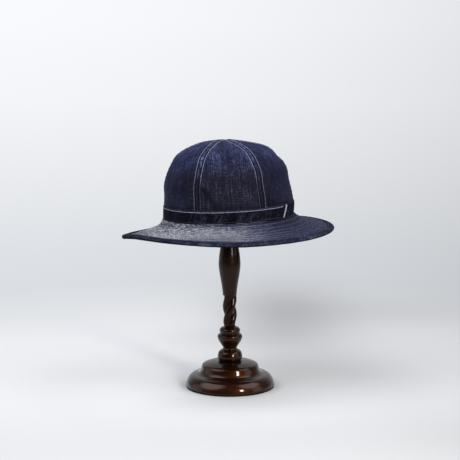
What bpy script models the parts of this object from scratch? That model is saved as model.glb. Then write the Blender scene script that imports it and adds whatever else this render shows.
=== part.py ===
"""A denim army hat on a turned wooden stand.

Metres, +Z up. The origin is the centre of the stand's foot, at the level that it stands on. The hat's front
faces -X and its wearer's left side faces -Y. The hat is modelled in its own frame, whose origin is the middle
of its head opening, and an empty sets that frame on the stand's head with the tilt that the hat hangs at.
Directions round the hat are in degrees: 0 is the back, 90 the wearer's right, 180 the front, 270 the left.
"""

import math

import bpy
import bmesh
import numpy as np
from mathutils import Matrix, Vector

MM = 0.001

# Cloth walls and the clearances between pieces
CROWN_WALL = 1.5 * MM
BAND_WALL = 1.3 * MM
BRIM_WALL = 2.2 * MM
BINDING_WALL = 0.8 * MM
GAP = 0.3 * MM
SEAM_GAP = 0.6 * MM
SEAT_GAP = 0.6 * MM

# Crown: reach from the middle of the head opening to the outside of the cloth, and height to the top
CROWN_FRONT = 97.0 * MM
CROWN_BACK = 95.8 * MM
CROWN_SIDE = 80.0 * MM
CROWN_HEIGHT = 113.5 * MM
CROWN_TIP = 1.0 * MM
OVAL_AT_FOOT = 2.2
OVAL_AT_TOP = 2.0
OPENING_SADDLE = 3.0 * MM
DENT_DEPTH = 2.5 * MM

# Band round the foot of the crown
BAND_HEIGHT = 19.5 * MM
BAND_LAP = 14.0
BAND_END = 326.4
BAND_END_SLANT = 4.6
SELVEDGE_WIDTH = 3.6 * MM
SELVEDGE_FOOT = 1.2 * MM
SELVEDGE_TOP = 18.6 * MM

# Brim: reach from the middle of the head opening to the outer edge, how far that edge hangs below it, and
# how far the cloth sags below a straight line between the two, at the sides and at the front. The ease is how
# much less of the front's own sag there is towards the wearer's right, where the cloth stands in a soft swell.
# The peak brings the highest value of share * (1 - share)**2 to one.
BRIM_FRONT = 160.4 * MM
BRIM_BACK = 156.1 * MM
BRIM_SIDE = 140.0 * MM
BRIM_OVAL = 1.9
BRIM_DROP = 25.0 * MM
BRIM_SAG = 4.6 * MM
BRIM_SAG_FRONT = 15.2 * MM
BRIM_SAG_EASE = 2.2
BRIM_SAG_PEAK = 6.75
BINDING_WIDTH = 9.0 * MM

# Stand: the height of each turned piece and its widest radius. The twist's pinches are how far its ends are
# drawn in, as shares of its groove, and its fade is how gently the groove runs out towards them.
BASE_HEIGHT = 40.5 * MM
BASE_RADIUS = 67.4 * MM
KNOBS_HEIGHT = 53.0 * MM
KNOBS_RADIUS = 18.8 * MM
TWIST_HEIGHT = 47.0 * MM
TWIST_RADIUS = 10.6 * MM
TWIST_GROOVE = 4.4 * MM
TWIST_STARTS = 3
TWIST_TURNS = 0.60
TWIST_START = 44.0
TWIST_FOOT_PINCH = 0.55
TWIST_TOP_PINCH = 0.10
TWIST_FADE = 0.35
STEM_HEIGHT = 188.0 * MM
STEM_RADIUS = 16.6 * MM
HEAD_HEIGHT = 44.0 * MM
HEAD_RADIUS = 50.0 * MM

# How the hat sits on the head: the crown's top lies this far forward of the stand's axis
HAT_FORWARD = 5.0 * MM
HAT_PITCH = -2.2
HAT_ROLL = -1.0

# Seams between the crown's six panels, in degrees round the hat
SEAMS = (0.0, 60.0, 117.0, 180.0, 243.0, 300.0)

# Crown outline: rise as a share of CROWN_HEIGHT, then the reach to front, back and side as shares of
# CROWN_FRONT, CROWN_BACK and CROWN_SIDE
CROWN_ROWS = (
    (0.000, 1.000, 1.000, 1.000),
    (0.150, 0.990, 1.012, 0.998),
    (0.300, 0.976, 0.990, 0.978),
    (0.450, 0.970, 0.954, 0.955),
    (0.600, 0.915, 0.929, 0.910),
    (0.720, 0.843, 0.850, 0.834),
    (0.820, 0.762, 0.745, 0.742),
    (0.900, 0.616, 0.577, 0.595),
    (0.955, 0.453, 0.357, 0.410),
    (0.988, 0.290, 0.150, 0.205),
    (1.000, 0.000, 0.000, 0.000),
)

# Dents pressed into the crown: direction in degrees, rise as a share of CROWN_HEIGHT, depth as a share of
# DENT_DEPTH, then how wide each is in degrees and how tall as a share of CROWN_HEIGHT
CROWN_DENTS = (
    (243.0, 0.20, 1.00, 13.0, 0.16),
    (256.0, 0.12, 0.60, 10.0, 0.10),
    (300.0, 0.10, 0.90, 12.0, 0.09),
    (282.0, 0.62, -0.50, 22.0, 0.25),
    (345.0, 0.66, 0.40, 20.0, 0.08),
    (205.0, 0.50, -0.50, 18.0, 0.17),
    (128.0, 0.18, 0.90, 15.0, 0.14),
    (52.0, 0.22, 0.80, 16.0, 0.15),
)

# Brim edge: direction in degrees, and how far the edge hangs as a share of BRIM_DROP
BRIM_ROWS = (
    (0.0, 0.93),
    (30.0, 0.78),
    (60.0, 0.79),
    (90.0, 0.93),
    (120.0, 1.06),
    (150.0, 1.17),
    (180.0, 1.00),
    (210.0, 0.71),
    (240.0, 0.825),
    (270.0, 1.02),
    (300.0, 1.08),
    (330.0, 1.05),
)

# Turned profiles from top to bottom: radius and height as shares of the piece's own radius and height
BASE_PROFILE = (
    (0.290, 1.000),
    (0.430, 0.968),
    (0.560, 0.905),
    (0.612, 0.862),
    (0.634, 0.810),
    (0.650, 0.730),
    (0.664, 0.650),
    (0.690, 0.575),
    (0.730, 0.527),
    (0.775, 0.504),
    (0.825, 0.489),
    (0.875, 0.456),
    (0.915, 0.400),
    (0.950, 0.325),
    (0.978, 0.235),
    (0.995, 0.140),
    (1.000, 0.060),
    (0.988, 0.000),
)
KNOBS_PROFILE = (
    (0.430, 1.000),
    (0.520, 0.975),
    (0.720, 0.945),
    (0.810, 0.900),
    (0.825, 0.850),
    (0.800, 0.805),
    (0.770, 0.785),
    (0.860, 0.765),
    (0.965, 0.735),
    (1.000, 0.690),
    (0.985, 0.640),
    (0.890, 0.560),
    (0.740, 0.475),
    (0.600, 0.395),
    (0.555, 0.350),
    (0.640, 0.315),
    (0.840, 0.270),
    (0.950, 0.200),
    (1.000, 0.115),
    (0.965, 0.045),
    (0.860, 0.000),
)
STEM_PROFILE = (
    (0.600, 1.000),
    (0.600, 0.520),
    (0.700, 0.450),
    (0.830, 0.385),
    (0.925, 0.335),
    (0.980, 0.285),
    (1.000, 0.245),
    (0.960, 0.205),
    (0.880, 0.155),
    (0.780, 0.105),
    (0.690, 0.052),
    (0.630, 0.000),
)

# The stand's head below its domed top: radius as a share of HEAD_RADIUS, and depth below the dome's edge as
# a share of what is left of HEAD_HEIGHT there
HEAD_SIDE = (
    (1.000, 0.180),
    (0.985, 0.420),
    (0.880, 0.640),
    (0.600, 0.800),
    (0.330, 0.900),
    (0.260, 1.000),
)

# Facets
PANEL_COLUMNS = 8
CROWN_STEPS = 12
BAND_COLUMNS = 84
BRIM_COLUMNS = 66
BRIM_STEPS = (0.0, 0.14, 0.34, 0.60)
BINDING_ARC = 3
BASE_FACETS = 40
KNOBS_FACETS = 30
TWIST_FACETS = 24
TWIST_LEVELS = 17
STEM_FACETS = 26
HEAD_FACETS = 32
HEAD_RINGS = 6

# How closely the crown's inner face is sampled to shape the stand's head: from this rise as a share of
# CROWN_HEIGHT, this many rows and degrees apart, and reading a ring this wide
SEAT_FROM = 0.5
SEAT_STEP = 0.1
SEAT_DEGREES = 4
SEAT_REACH = 3.0 * MM


def clear_scene():
    for old in list(bpy.data.objects):
        bpy.data.objects.remove(old, do_unlink=True)


def make_material(name, colour, roughness):
    material = bpy.data.materials.new(name)
    material.use_nodes = True
    shader = material.node_tree.nodes["Principled BSDF"]
    shader.inputs["Base Color"].default_value = (*colour, 1.0)
    shader.inputs["Roughness"].default_value = roughness
    shader.inputs["Metallic"].default_value = 0.0
    return material


def add_object(name, mesh, material, collection, parent):
    """Puts a mesh in the scene as one named piece, shaded smooth except at its sharp edges."""
    mesh.materials.append(material)
    mesh.shade_smooth()
    mesh.set_sharp_from_angle(angle=math.radians(40.0))
    piece = bpy.data.objects.new(name, mesh)
    collection.objects.link(piece)
    piece.parent = parent
    return piece


def smooth_value(values, place, closed=False):
    """Reads a list of values at a fractional place along it, on a smooth curve through them."""
    count = len(values)
    last = count if closed else count - 1
    start = min(int(math.floor(place)), last - 1)
    share = place - start

    def at(index):
        if closed:
            return values[index % count]
        if index < 0:
            return 2.0 * values[0] - values[1]
        if index > count - 1:
            return 2.0 * values[-1] - values[-2]
        return values[index]

    a, b, c, d = (at(start + step) for step in (-1, 0, 1, 2))
    cubic = 3.0 * b - a - 3.0 * c + d
    square = 2.0 * a - 5.0 * b + 4.0 * c - d
    return 0.5 * (2.0 * b + (c - a) * share + square * share**2 + cubic * share**3)


def oval(front, back, side, squareness, degrees):
    """A point of a flat-sided oval round the hat's middle, with its own reach to front, back and side."""
    angle = math.radians(degrees)
    along, across = math.cos(angle), math.sin(angle)
    power = 2.0 / squareness
    reach = front if along < 0.0 else back
    x = reach * math.copysign(abs(along) ** power, along)
    y = side * math.copysign(abs(across) ** power, across)
    return x, y


def saddle(degrees):
    """How far the head opening's edge lies below its middle plane: most at the sides, not at front and back."""
    return -OPENING_SADDLE * math.sin(math.radians(degrees)) ** 2


def dent_at(degrees, rise):
    """How far the crown is pressed in at one place."""
    depth = 0.0
    for direction, height, share, wide, tall in CROWN_DENTS:
        turn = (degrees - direction + 180.0) % 360.0 - 180.0
        depth += share * math.exp(-((turn / wide) ** 2) - ((rise - height) / tall) ** 2)
    return DENT_DEPTH * depth


def crown_point(degrees, step, out=None):
    """A point on the crown's outer face: step counts rows of CROWN_ROWS.

    With out, the point stands that far off the face as it would be with no dents.
    """
    rise, front, back, side = (smooth_value([row[c] for row in CROWN_ROWS], step) for c in range(4))
    squareness = OVAL_AT_FOOT + (OVAL_AT_TOP - OVAL_AT_FOOT) * rise
    inward = dent_at(degrees, rise) * (1.0 - rise) if out is None else -out
    x, y = oval(
        max(front * CROWN_FRONT - inward, CROWN_TIP),
        max(back * CROWN_BACK - inward, CROWN_TIP),
        max(side * CROWN_SIDE - inward, CROWN_TIP),
        squareness,
        degrees,
    )
    z = rise * CROWN_HEIGHT + saddle(degrees) * (1.0 - rise) ** 2
    return Vector((x, y, z))


def crown_step_at(height):
    """The place in CROWN_ROWS whose rise is this height, found by halving."""
    rises = [row[0] for row in CROWN_ROWS]
    low, high = 0.0, len(rises) - 1.0
    for _ in range(40):
        middle = (low + high) / 2.0
        if smooth_value(rises, middle) * CROWN_HEIGHT < height:
            low = middle
        else:
            high = middle
    return low


def foot_point(degrees, height, out):
    """A point near the crown's foot, this high above the brim and this far out from the crown's face."""
    point = crown_point(degrees, crown_step_at(height), out)
    point.z = height + saddle(degrees)
    return point


def brim_point(degrees, share):
    """A point on the brim's upper face: share 0 is at the band's foot and 1 at the outer edge."""
    collar = 2.0 * GAP + BAND_WALL
    inner_x, inner_y = oval(
        CROWN_FRONT + collar, CROWN_BACK + collar, CROWN_SIDE + collar, OVAL_AT_FOOT, degrees
    )
    trim = GAP + BINDING_WALL
    outer_x, outer_y = oval(BRIM_FRONT - trim, BRIM_BACK - trim, BRIM_SIDE - trim, BRIM_OVAL, degrees)
    turn = 360.0 / len(BRIM_ROWS)
    drop = BRIM_DROP * smooth_value([row[1] for row in BRIM_ROWS], (degrees % 360.0) / turn, closed=True)
    frontness = max(0.0, -math.cos(math.radians(degrees))) ** 2
    rightness = max(0.0, math.sin(math.radians(degrees)))
    sag = BRIM_SAG + (BRIM_SAG_FRONT - BRIM_SAG) * frontness * (1.0 - BRIM_SAG_EASE * rightness)
    inner_z = saddle(degrees)
    return Vector(
        (
            inner_x + (outer_x - inner_x) * share,
            inner_y + (outer_y - inner_y) * share,
            inner_z + (-drop - inner_z) * share - sag * BRIM_SAG_PEAK * share * (1.0 - share) ** 2,
        )
    )


def grid_mesh(name, rows, closed):
    """An open surface through rows of points; closed joins each row's last point to its first."""
    build = bmesh.new()
    verts = [[build.verts.new(point) for point in row] for row in rows]
    columns = len(rows[0])
    spans = columns if closed else columns - 1
    for lower, upper in zip(verts, verts[1:]):
        for column in range(spans):
            beside = (column + 1) % columns
            build.faces.new((lower[column], lower[beside], upper[beside], upper[column]))
    mesh = bpy.data.meshes.new(name)
    build.to_mesh(mesh)
    build.free()
    return mesh


def cloth_piece(name, rows, closed, wall, material, collection, parent):
    """A cloth shell: the rows give its outer face, and the wall is added behind it."""
    piece = add_object(name, grid_mesh(name, rows, closed), material, collection, parent)
    wall_modifier = piece.modifiers.new("wall", "SOLIDIFY")
    wall_modifier.thickness = wall
    wall_modifier.offset = -1.0
    wall_modifier.use_even_offset = True
    return piece


def crown_panel(index, material, collection, parent):
    """One gore of the crown, from the brim to the tip, with half a seam's clearance along each side."""
    start = SEAMS[index]
    end = SEAMS[(index + 1) % len(SEAMS)] + (360.0 if index == len(SEAMS) - 1 else 0.0)
    last_step = len(CROWN_ROWS) - 1.0
    while crown_point(start, last_step).xy.length <= CROWN_TIP * 1.01:
        last_step -= 0.01
    first_step = crown_step_at(GAP)
    rows = []
    for row in range(CROWN_STEPS):
        step = first_step + (last_step - first_step) * row / (CROWN_STEPS - 1.0)
        edges = []
        for seam, inward in ((start, 1.0), (end, -1.0)):
            small = 0.5
            travel = (crown_point(seam + small, step) - crown_point(seam, step)).length / small
            edges.append(seam + inward * SEAM_GAP / 2.0 / travel)
        turns = [
            edges[0] + (edges[1] - edges[0]) * column / PANEL_COLUMNS for column in range(PANEL_COLUMNS + 1)
        ]
        rows.append([crown_point(turn, step) for turn in turns])
    return cloth_piece(
        f"crown_panel_{index + 1}", rows, False, CROWN_WALL, material, collection, parent
    )


def band_out(degrees):
    """How far the band's outer face stands off the crown, where degrees runs once round and over the lap."""
    layer = BAND_WALL + GAP
    lap_start = BAND_END - BAND_LAP
    share = min(1.0, max(0.0, (degrees - (lap_start - BAND_LAP)) / BAND_LAP))
    return layer + layer * share * share * (3.0 - 2.0 * share)


def band_end(height_share):
    """The direction of the band's slanted end, from its foot to its top."""
    return BAND_END - BAND_END_SLANT * (1.0 - height_share)


def hat_band(material, collection, parent):
    """The strip round the crown's foot, whose far end laps over its start."""
    rows = []
    for height_share in (0.0, 0.5, 1.0):
        height = GAP + (BAND_HEIGHT - GAP) * height_share
        start = BAND_END - BAND_LAP - 360.0
        end = band_end(height_share)
        turns = [start + (end - start) * column / BAND_COLUMNS for column in range(BAND_COLUMNS + 1)]
        rows.append([foot_point(turn, height, band_out(turn)) for turn in turns])
    return cloth_piece("hat_band", rows, False, BAND_WALL, material, collection, parent)


def band_selvedge(material, collection, parent):
    """The pale edge along the band's slanted end, a little shorter than the band at its foot and its top."""
    rows = []
    for height_share in (0.0, 0.5, 1.0):
        height = SELVEDGE_FOOT + (SELVEDGE_TOP - SELVEDGE_FOOT) * height_share
        middle = band_end(height / BAND_HEIGHT)
        travel = (foot_point(middle + 1.0, height, 0.0) - foot_point(middle, height, 0.0)).length
        start = middle + GAP / travel
        end = start + SELVEDGE_WIDTH / travel
        turns = (start, (start + end) / 2.0, end)
        rows.append([foot_point(turn, height, band_out(BAND_END)) for turn in turns])
    return cloth_piece("band_selvedge", rows, False, BAND_WALL, material, collection, parent)


def binding_share(degrees):
    """The share of the brim's width at which its binding begins."""
    width = (brim_point(degrees, 1.0) - brim_point(degrees, 0.0)).length
    return 1.0 - BINDING_WIDTH / width


def brim(material, collection, parent):
    """The brim's sheet, from a lip under the crown's foot out to the edge that the binding covers."""
    turns = [360.0 * column / BRIM_COLUMNS for column in range(BRIM_COLUMNS)]
    lip = []
    for turn in turns:
        point = Vector((*oval(CROWN_FRONT, CROWN_BACK, CROWN_SIDE, OVAL_AT_FOOT, turn), saddle(turn)))
        inward = CROWN_WALL / point.xy.length
        lip.append(Vector((point.x * (1.0 - inward), point.y * (1.0 - inward), point.z)))
    rows = [lip]
    for share in BRIM_STEPS:
        rows.append([brim_point(turn, share) for turn in turns])
    rows.append([brim_point(turn, binding_share(turn)) for turn in turns])
    rows.append([brim_point(turn, 1.0) for turn in turns])
    rows.reverse()
    return cloth_piece("brim", rows, True, BRIM_WALL, material, collection, parent)


def brim_binding(material, collection, parent):
    """The strip folded over the brim's edge: an upper flange, a rounded nose and a lower flange."""
    turns = [360.0 * column / BRIM_COLUMNS for column in range(BRIM_COLUMNS)]
    edge = [brim_point(turn, 1.0) for turn in turns]
    start = [brim_point(turn, binding_share(turn)) for turn in turns]
    nose = BRIM_WALL / 2.0 + GAP + BINDING_WALL
    sections = []
    for column in range(BRIM_COLUMNS):
        before, after = edge[column - 1], edge[(column + 1) % BRIM_COLUMNS]
        outward = (edge[column] - start[column]).normalized()
        upward = outward.cross((after - before).normalized()).normalized()
        middle = edge[column] - upward * BRIM_WALL / 2.0
        inner = middle - outward * BINDING_WIDTH
        section = [inner + upward * nose, middle + upward * nose]
        for step in range(1, BINDING_ARC):
            angle = math.pi * (0.5 - step / BINDING_ARC)
            reach = outward * math.cos(angle) * nose
            section.append(middle + reach + upward * math.sin(angle) * nose)
        section += [middle - upward * nose, inner - upward * nose]
        sections.append(section)
    rows = [[section[place] for section in sections] for place in range(len(sections[0]))]
    rows.reverse()
    return cloth_piece("brim_binding", rows, True, BINDING_WALL, material, collection, parent)


def turned_piece(name, profile, facets, foot, material, collection, parent):
    """A turned piece from its outline, top to bottom, as pairs of radius and height above its foot."""
    build = bmesh.new()
    outline = [*profile, (0.0, profile[-1][1])]
    if profile[0][0] > 0.0:
        outline.insert(0, (0.0, profile[0][1]))
    verts = [build.verts.new((radius, 0.0, height)) for radius, height in outline]
    for upper, lower in zip(verts, verts[1:]):
        build.edges.new((upper, lower))
    mesh = bpy.data.meshes.new(name)
    build.to_mesh(mesh)
    build.free()
    piece = add_object(name, mesh, material, collection, parent)
    piece.location.z = foot
    turning = piece.modifiers.new("turning", "SCREW")
    turning.angle = 2.0 * math.pi
    turning.steps = facets
    turning.render_steps = facets
    turning.use_merge_vertices = True
    turning.merge_threshold = 0.00001
    turning.use_smooth_shade = True
    return piece


def scaled(profile, radius, height):
    return [(share * radius, rise * height) for share, rise in profile]


def twist_piece(foot, material, collection, parent):
    """The barley twist: three rounded strands turning right-handed as they climb, fading out at both ends."""
    build = bmesh.new()
    rings = []
    for level in range(TWIST_LEVELS):
        share = level / (TWIST_LEVELS - 1.0)
        fade = math.sin(math.pi * share) ** TWIST_FADE
        turn = math.radians(TWIST_START) + 2.0 * math.pi * TWIST_TURNS * share
        pinch = TWIST_FOOT_PINCH + (TWIST_TOP_PINCH - TWIST_FOOT_PINCH) * share
        ring = []
        for facet in range(TWIST_FACETS):
            angle = 2.0 * math.pi * facet / TWIST_FACETS
            groove = 1.0 - abs(math.cos(TWIST_STARTS * (angle - turn) / 2.0))
            radius = TWIST_RADIUS - TWIST_GROOVE * (groove * fade + pinch * (1.0 - fade))
            ring.append(
                build.verts.new((radius * math.cos(angle), radius * math.sin(angle), share * TWIST_HEIGHT))
            )
        rings.append(ring)
    for lower, upper in zip(rings, rings[1:]):
        for facet in range(TWIST_FACETS):
            beside = (facet + 1) % TWIST_FACETS
            build.faces.new((lower[facet], lower[beside], upper[beside], upper[facet]))
    build.faces.new(list(reversed(rings[0])))
    build.faces.new(rings[-1])
    mesh = bpy.data.meshes.new("stand_twist")
    build.to_mesh(mesh)
    build.free()
    piece = add_object("stand_twist", mesh, material, collection, parent)
    piece.location.z = foot
    return piece


def hat_turn():
    pitch = Matrix.Rotation(math.radians(HAT_PITCH), 4, "Y")
    roll = Matrix.Rotation(math.radians(HAT_ROLL), 4, "X")
    return pitch @ roll


def seat_heights(turn, radii):
    """The lowest height of the crown's inner face round the stand's axis at each radius, before the hat is set.

    Heights are counted from the middle of the head opening, with the hat tilted and moved forward.
    """
    tip = turn @ Vector((0.0, 0.0, CROWN_HEIGHT))
    forward = Vector((-HAT_FORWARD - tip.x, -tip.y, 0.0))
    points = []
    lowest = crown_step_at(SEAT_FROM * CROWN_HEIGHT)
    highest = len(CROWN_ROWS) - 1.0 - SEAT_STEP
    for step in np.arange(lowest, highest, SEAT_STEP):
        for degrees in range(0, 360, SEAT_DEGREES):
            point = crown_point(degrees, step)
            beside = crown_point(degrees + SEAT_DEGREES, step) - point
            above = crown_point(degrees, step + SEAT_STEP) - point
            inner = point - beside.cross(above).normalized() * CROWN_WALL
            points.append(turn @ inner + forward)
    field = np.array(points)
    around = np.hypot(field[:, 0], field[:, 1])
    return forward, [float(field[np.abs(around - radius) < SEAT_REACH, 2].min()) for radius in radii]


def stand_head(foot, seats, hat_height, material, collection, parent):
    """The head inside the crown: its dome follows the crown's inner face, and its underside is plain."""
    dome = [(radius, hat_height + height - SEAT_GAP - foot) for radius, height in seats]
    edge_height = dome[-1][1]
    side = [(share * HEAD_RADIUS, edge_height * (1.0 - depth)) for share, depth in HEAD_SIDE]
    return turned_piece(
        "stand_head", dome + side, HEAD_FACETS, foot, material, collection, parent
    )


def build_stand(collection):
    wood = make_material("turned_wood", (0.060, 0.022, 0.012), 0.22)
    stand = bpy.data.objects.new("stand", None)
    collection.objects.link(stand)
    foot = 0.0
    base = scaled(BASE_PROFILE, BASE_RADIUS, BASE_HEIGHT)
    turned_piece("stand_base", base, BASE_FACETS, foot, wood, collection, stand)
    foot += BASE_HEIGHT + GAP
    knobs = scaled(KNOBS_PROFILE, KNOBS_RADIUS, KNOBS_HEIGHT)
    turned_piece("stand_knobs", knobs, KNOBS_FACETS, foot, wood, collection, stand)
    foot += KNOBS_HEIGHT + GAP
    twist_piece(foot, wood, collection, stand)
    foot += TWIST_HEIGHT + GAP
    stem = scaled(STEM_PROFILE, STEM_RADIUS, STEM_HEIGHT)
    turned_piece("stand_stem", stem, STEM_FACETS, foot, wood, collection, stand)
    foot += STEM_HEIGHT + GAP
    turn = hat_turn()
    radii = [HEAD_RADIUS * ring / HEAD_RINGS for ring in range(HEAD_RINGS + 1)]
    forward, heights = seat_heights(turn, radii)
    hat_height = foot + HEAD_HEIGHT + SEAT_GAP - heights[0]
    seats = list(zip(radii, heights))
    stand_head(foot, seats, hat_height, wood, collection, stand)
    return Matrix.Translation(Vector((forward.x, forward.y, hat_height))) @ turn


def build_hat(collection, place):
    crown_cloth = make_material("crown_denim", (0.026, 0.027, 0.048), 0.9)
    band_cloth = make_material("band_denim", (0.015, 0.015, 0.026), 0.9)
    brim_cloth = make_material("brim_denim", (0.150, 0.155, 0.190), 0.9)
    binding_cloth = make_material("binding_denim", (0.030, 0.034, 0.060), 0.9)
    selvedge_cloth = make_material("selvedge", (0.700, 0.700, 0.680), 0.8)
    hat = bpy.data.objects.new("hat", None)
    collection.objects.link(hat)
    hat.matrix_world = place
    for index in range(len(SEAMS)):
        crown_panel(index, crown_cloth, collection, hat)
    hat_band(band_cloth, collection, hat)
    band_selvedge(selvedge_cloth, collection, hat)
    brim(brim_cloth, collection, hat)
    brim_binding(binding_cloth, collection, hat)


def main():
    clear_scene()
    collection = bpy.data.collections.new("army_hat_on_stand")
    bpy.context.scene.collection.children.link(collection)
    place = build_stand(collection)
    build_hat(collection, place)


main()
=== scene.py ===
"""An indigo denim army hat with a ring-stitched brim, on a turned wooden stand: looks for its frame.

Metres, +Z up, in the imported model's frame. The cloth is shaped in the hat's own frame, whose origin
is the middle of its head opening, and hat_matrix sets it on the stand with the tilt that it hangs at.
Directions round the hat are in degrees: 0 is the back, 90 the wearer's right, 180 the front and 270
the left, which faces the camera.
"""

import math

import bpy
import numpy as np
from mathutils import Matrix, Vector, noise

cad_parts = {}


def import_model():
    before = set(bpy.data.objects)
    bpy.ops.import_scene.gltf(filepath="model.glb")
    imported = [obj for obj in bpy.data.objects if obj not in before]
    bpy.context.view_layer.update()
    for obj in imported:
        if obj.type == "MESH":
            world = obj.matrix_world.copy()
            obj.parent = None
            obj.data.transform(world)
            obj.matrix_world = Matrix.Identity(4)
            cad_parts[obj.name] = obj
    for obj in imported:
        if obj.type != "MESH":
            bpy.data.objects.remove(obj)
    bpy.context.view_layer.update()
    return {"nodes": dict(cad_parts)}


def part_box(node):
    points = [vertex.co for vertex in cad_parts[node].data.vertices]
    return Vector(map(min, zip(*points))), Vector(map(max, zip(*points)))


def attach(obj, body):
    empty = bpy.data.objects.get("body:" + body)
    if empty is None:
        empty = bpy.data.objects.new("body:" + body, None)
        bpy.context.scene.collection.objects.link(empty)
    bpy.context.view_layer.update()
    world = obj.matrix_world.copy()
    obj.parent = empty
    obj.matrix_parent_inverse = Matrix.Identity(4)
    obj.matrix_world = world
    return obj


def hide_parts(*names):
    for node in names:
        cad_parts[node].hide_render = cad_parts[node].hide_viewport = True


MM = 0.001

# Crown: reach from the middle of the head opening to the outside of the cloth, and height to the top
CROWN_WALL = 1.5 * MM
CROWN_FRONT = 97.0 * MM
CROWN_BACK = 95.8 * MM
CROWN_SIDE = 80.0 * MM
CROWN_HEIGHT = 113.5 * MM
OVAL_AT_FOOT = 2.2
OVAL_AT_TOP = 2.0
OPENING_SADDLE = 3.0 * MM
DENT_DEPTH = 2.5 * MM
SEAMS = (0.0, 60.0, 117.0, 180.0, 243.0, 300.0)
FORWARD = 5.0 * MM
PITCH = -2.2
ROLL = -1.0

# Band, brim and binding
CLEARANCE = 0.3 * MM
BAND_WALL = 1.3 * MM
BAND_HEIGHT = 19.5 * MM
BAND_LAP = 14.0
BAND_END = 326.4
BAND_END_SLANT = 4.6
SELVEDGE_WIDTH = 3.6 * MM
SELVEDGE_FOOT = 1.2 * MM
SELVEDGE_TOP = 18.6 * MM
BRIM_WALL = 2.2 * MM
BRIM_FRONT = 160.4 * MM
BRIM_BACK = 156.1 * MM
BRIM_SIDE = 140.0 * MM
BRIM_OVAL = 1.9
BRIM_DROP = 25.0 * MM
BRIM_SAG = 4.6 * MM
BRIM_SAG_FRONT = 15.2 * MM
BRIM_SAG_EASE = 2.2
SAG_PEAK = 6.75
BINDING_WALL = 0.8 * MM
BINDING_WIDTH = 9.0 * MM

# Crown outline: rise as a share of the height, then the reach to front, back and side
CROWN_ROWS = (
    (0.000, 1.000, 1.000, 1.000),
    (0.150, 0.990, 1.012, 0.998),
    (0.300, 0.976, 0.990, 0.978),
    (0.450, 0.970, 0.954, 0.955),
    (0.600, 0.915, 0.929, 0.910),
    (0.720, 0.843, 0.850, 0.834),
    (0.820, 0.762, 0.745, 0.742),
    (0.900, 0.616, 0.577, 0.595),
    (0.955, 0.453, 0.357, 0.410),
    (0.988, 0.290, 0.150, 0.205),
    (1.000, 0.000, 0.000, 0.000),
)

# Broad dents: direction, rise, share of DENT_DEPTH, width in degrees and height as a share
CROWN_DENTS = (
    (243.0, 0.20, 1.00, 13.0, 0.16),
    (256.0, 0.12, 0.60, 10.0, 0.10),
    (300.0, 0.10, 0.90, 12.0, 0.09),
    (282.0, 0.62, -0.50, 22.0, 0.25),
    (345.0, 0.66, 0.40, 20.0, 0.08),
    (205.0, 0.50, -0.50, 18.0, 0.17),
    (128.0, 0.18, 0.90, 15.0, 0.14),
    (52.0, 0.22, 0.80, 16.0, 0.15),
)

# Soft creases: direction and rise of one end, then of the other, depth and width in mm, and darkness:
# painted shade, and painted light where it is below 0
CROWN_CREASES = (
    (249.0, 0.42, 259.0, 0.19, 2.0, 3.4, 0.55),
    (243.0, 0.54, 244.5, 0.28, 0.7, 4.0, 0.45),
    (297.0, 0.24, 311.0, 0.205, 1.5, 4.5, 0.50),
    (226.0, 0.58, 229.0, 0.30, 1.0, 7.0, 0.35),
    (213.0, 0.56, 212.0, 0.24, -0.7, 5.0, -0.25),
    (252.0, 0.50, 262.0, 0.30, -0.8, 3.0, -0.25),
    (283.0, 0.86, 280.0, 0.62, -0.4, 13.0, -0.12),
    (252.0, 0.93, 255.0, 0.74, -0.2, 9.0, -0.28),
    (205.0, 0.88, 214.0, 0.62, -0.2, 10.0, -0.28),
    (241.0, 0.94, 242.0, 0.40, 0.0, 4.5, -0.30),
    (299.0, 0.93, 300.0, 0.78, 0.0, 4.0, -0.40),
    (293.0, 0.44, 295.0, 0.30, 0.2, 6.0, 0.32),
    (262.0, 0.93, 268.0, 0.86, 0.2, 9.0, 0.30),
    (346.0, 0.775, 374.0, 0.775, 2.0, 6.0, 0.10),
    (346.0, 0.885, 374.0, 0.885, -0.9, 6.0, 0.00),
    (115.0, 0.40, 104.0, 0.22, 1.6, 4.0, 0.45),
    (68.0, 0.46, 58.0, 0.24, 1.3, 5.0, 0.40),
    (20.0, 0.36, 34.0, 0.22, 1.0, 6.0, 0.30),
    (150.0, 0.56, 146.0, 0.30, 1.0, 7.0, 0.30),
)

# Crown's cloth: millimetres to a degree round it, and the step in grain from panel to panel
DEGREE_MM = 1.45
PANEL_GRAIN_STEP = 0.31

# Brim edge: how far it hangs every 30 degrees from the back, as a share of BRIM_DROP
BRIM_EDGE = (0.93, 0.78, 0.79, 0.93, 1.06, 1.17, 1.00, 0.71, 0.825, 1.02, 1.08, 1.05)

# Turned profiles, top to bottom: radius and height as shares of the piece's own radius and height
BASE_PROFILE = (
    (0.290, 1.000), (0.430, 0.968), (0.560, 0.905), (0.612, 0.862), (0.634, 0.810),
    (0.650, 0.730), (0.664, 0.650), (0.690, 0.575), (0.730, 0.527), (0.775, 0.504),
    (0.825, 0.489), (0.875, 0.456), (0.915, 0.400), (0.950, 0.325), (0.978, 0.235),
    (0.995, 0.140), (1.000, 0.060), (0.988, 0.000),
)
KNOBS_PROFILE = (
    (0.430, 1.000), (0.520, 0.975), (0.720, 0.945), (0.810, 0.900), (0.825, 0.850),
    (0.800, 0.805), (0.770, 0.785), (0.860, 0.765), (0.965, 0.735), (1.000, 0.690),
    (0.985, 0.640), (0.890, 0.560), (0.740, 0.475), (0.600, 0.395), (0.555, 0.350),
    (0.640, 0.315), (0.840, 0.270), (0.950, 0.200), (1.000, 0.115), (0.965, 0.045),
    (0.860, 0.000),
)
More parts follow.
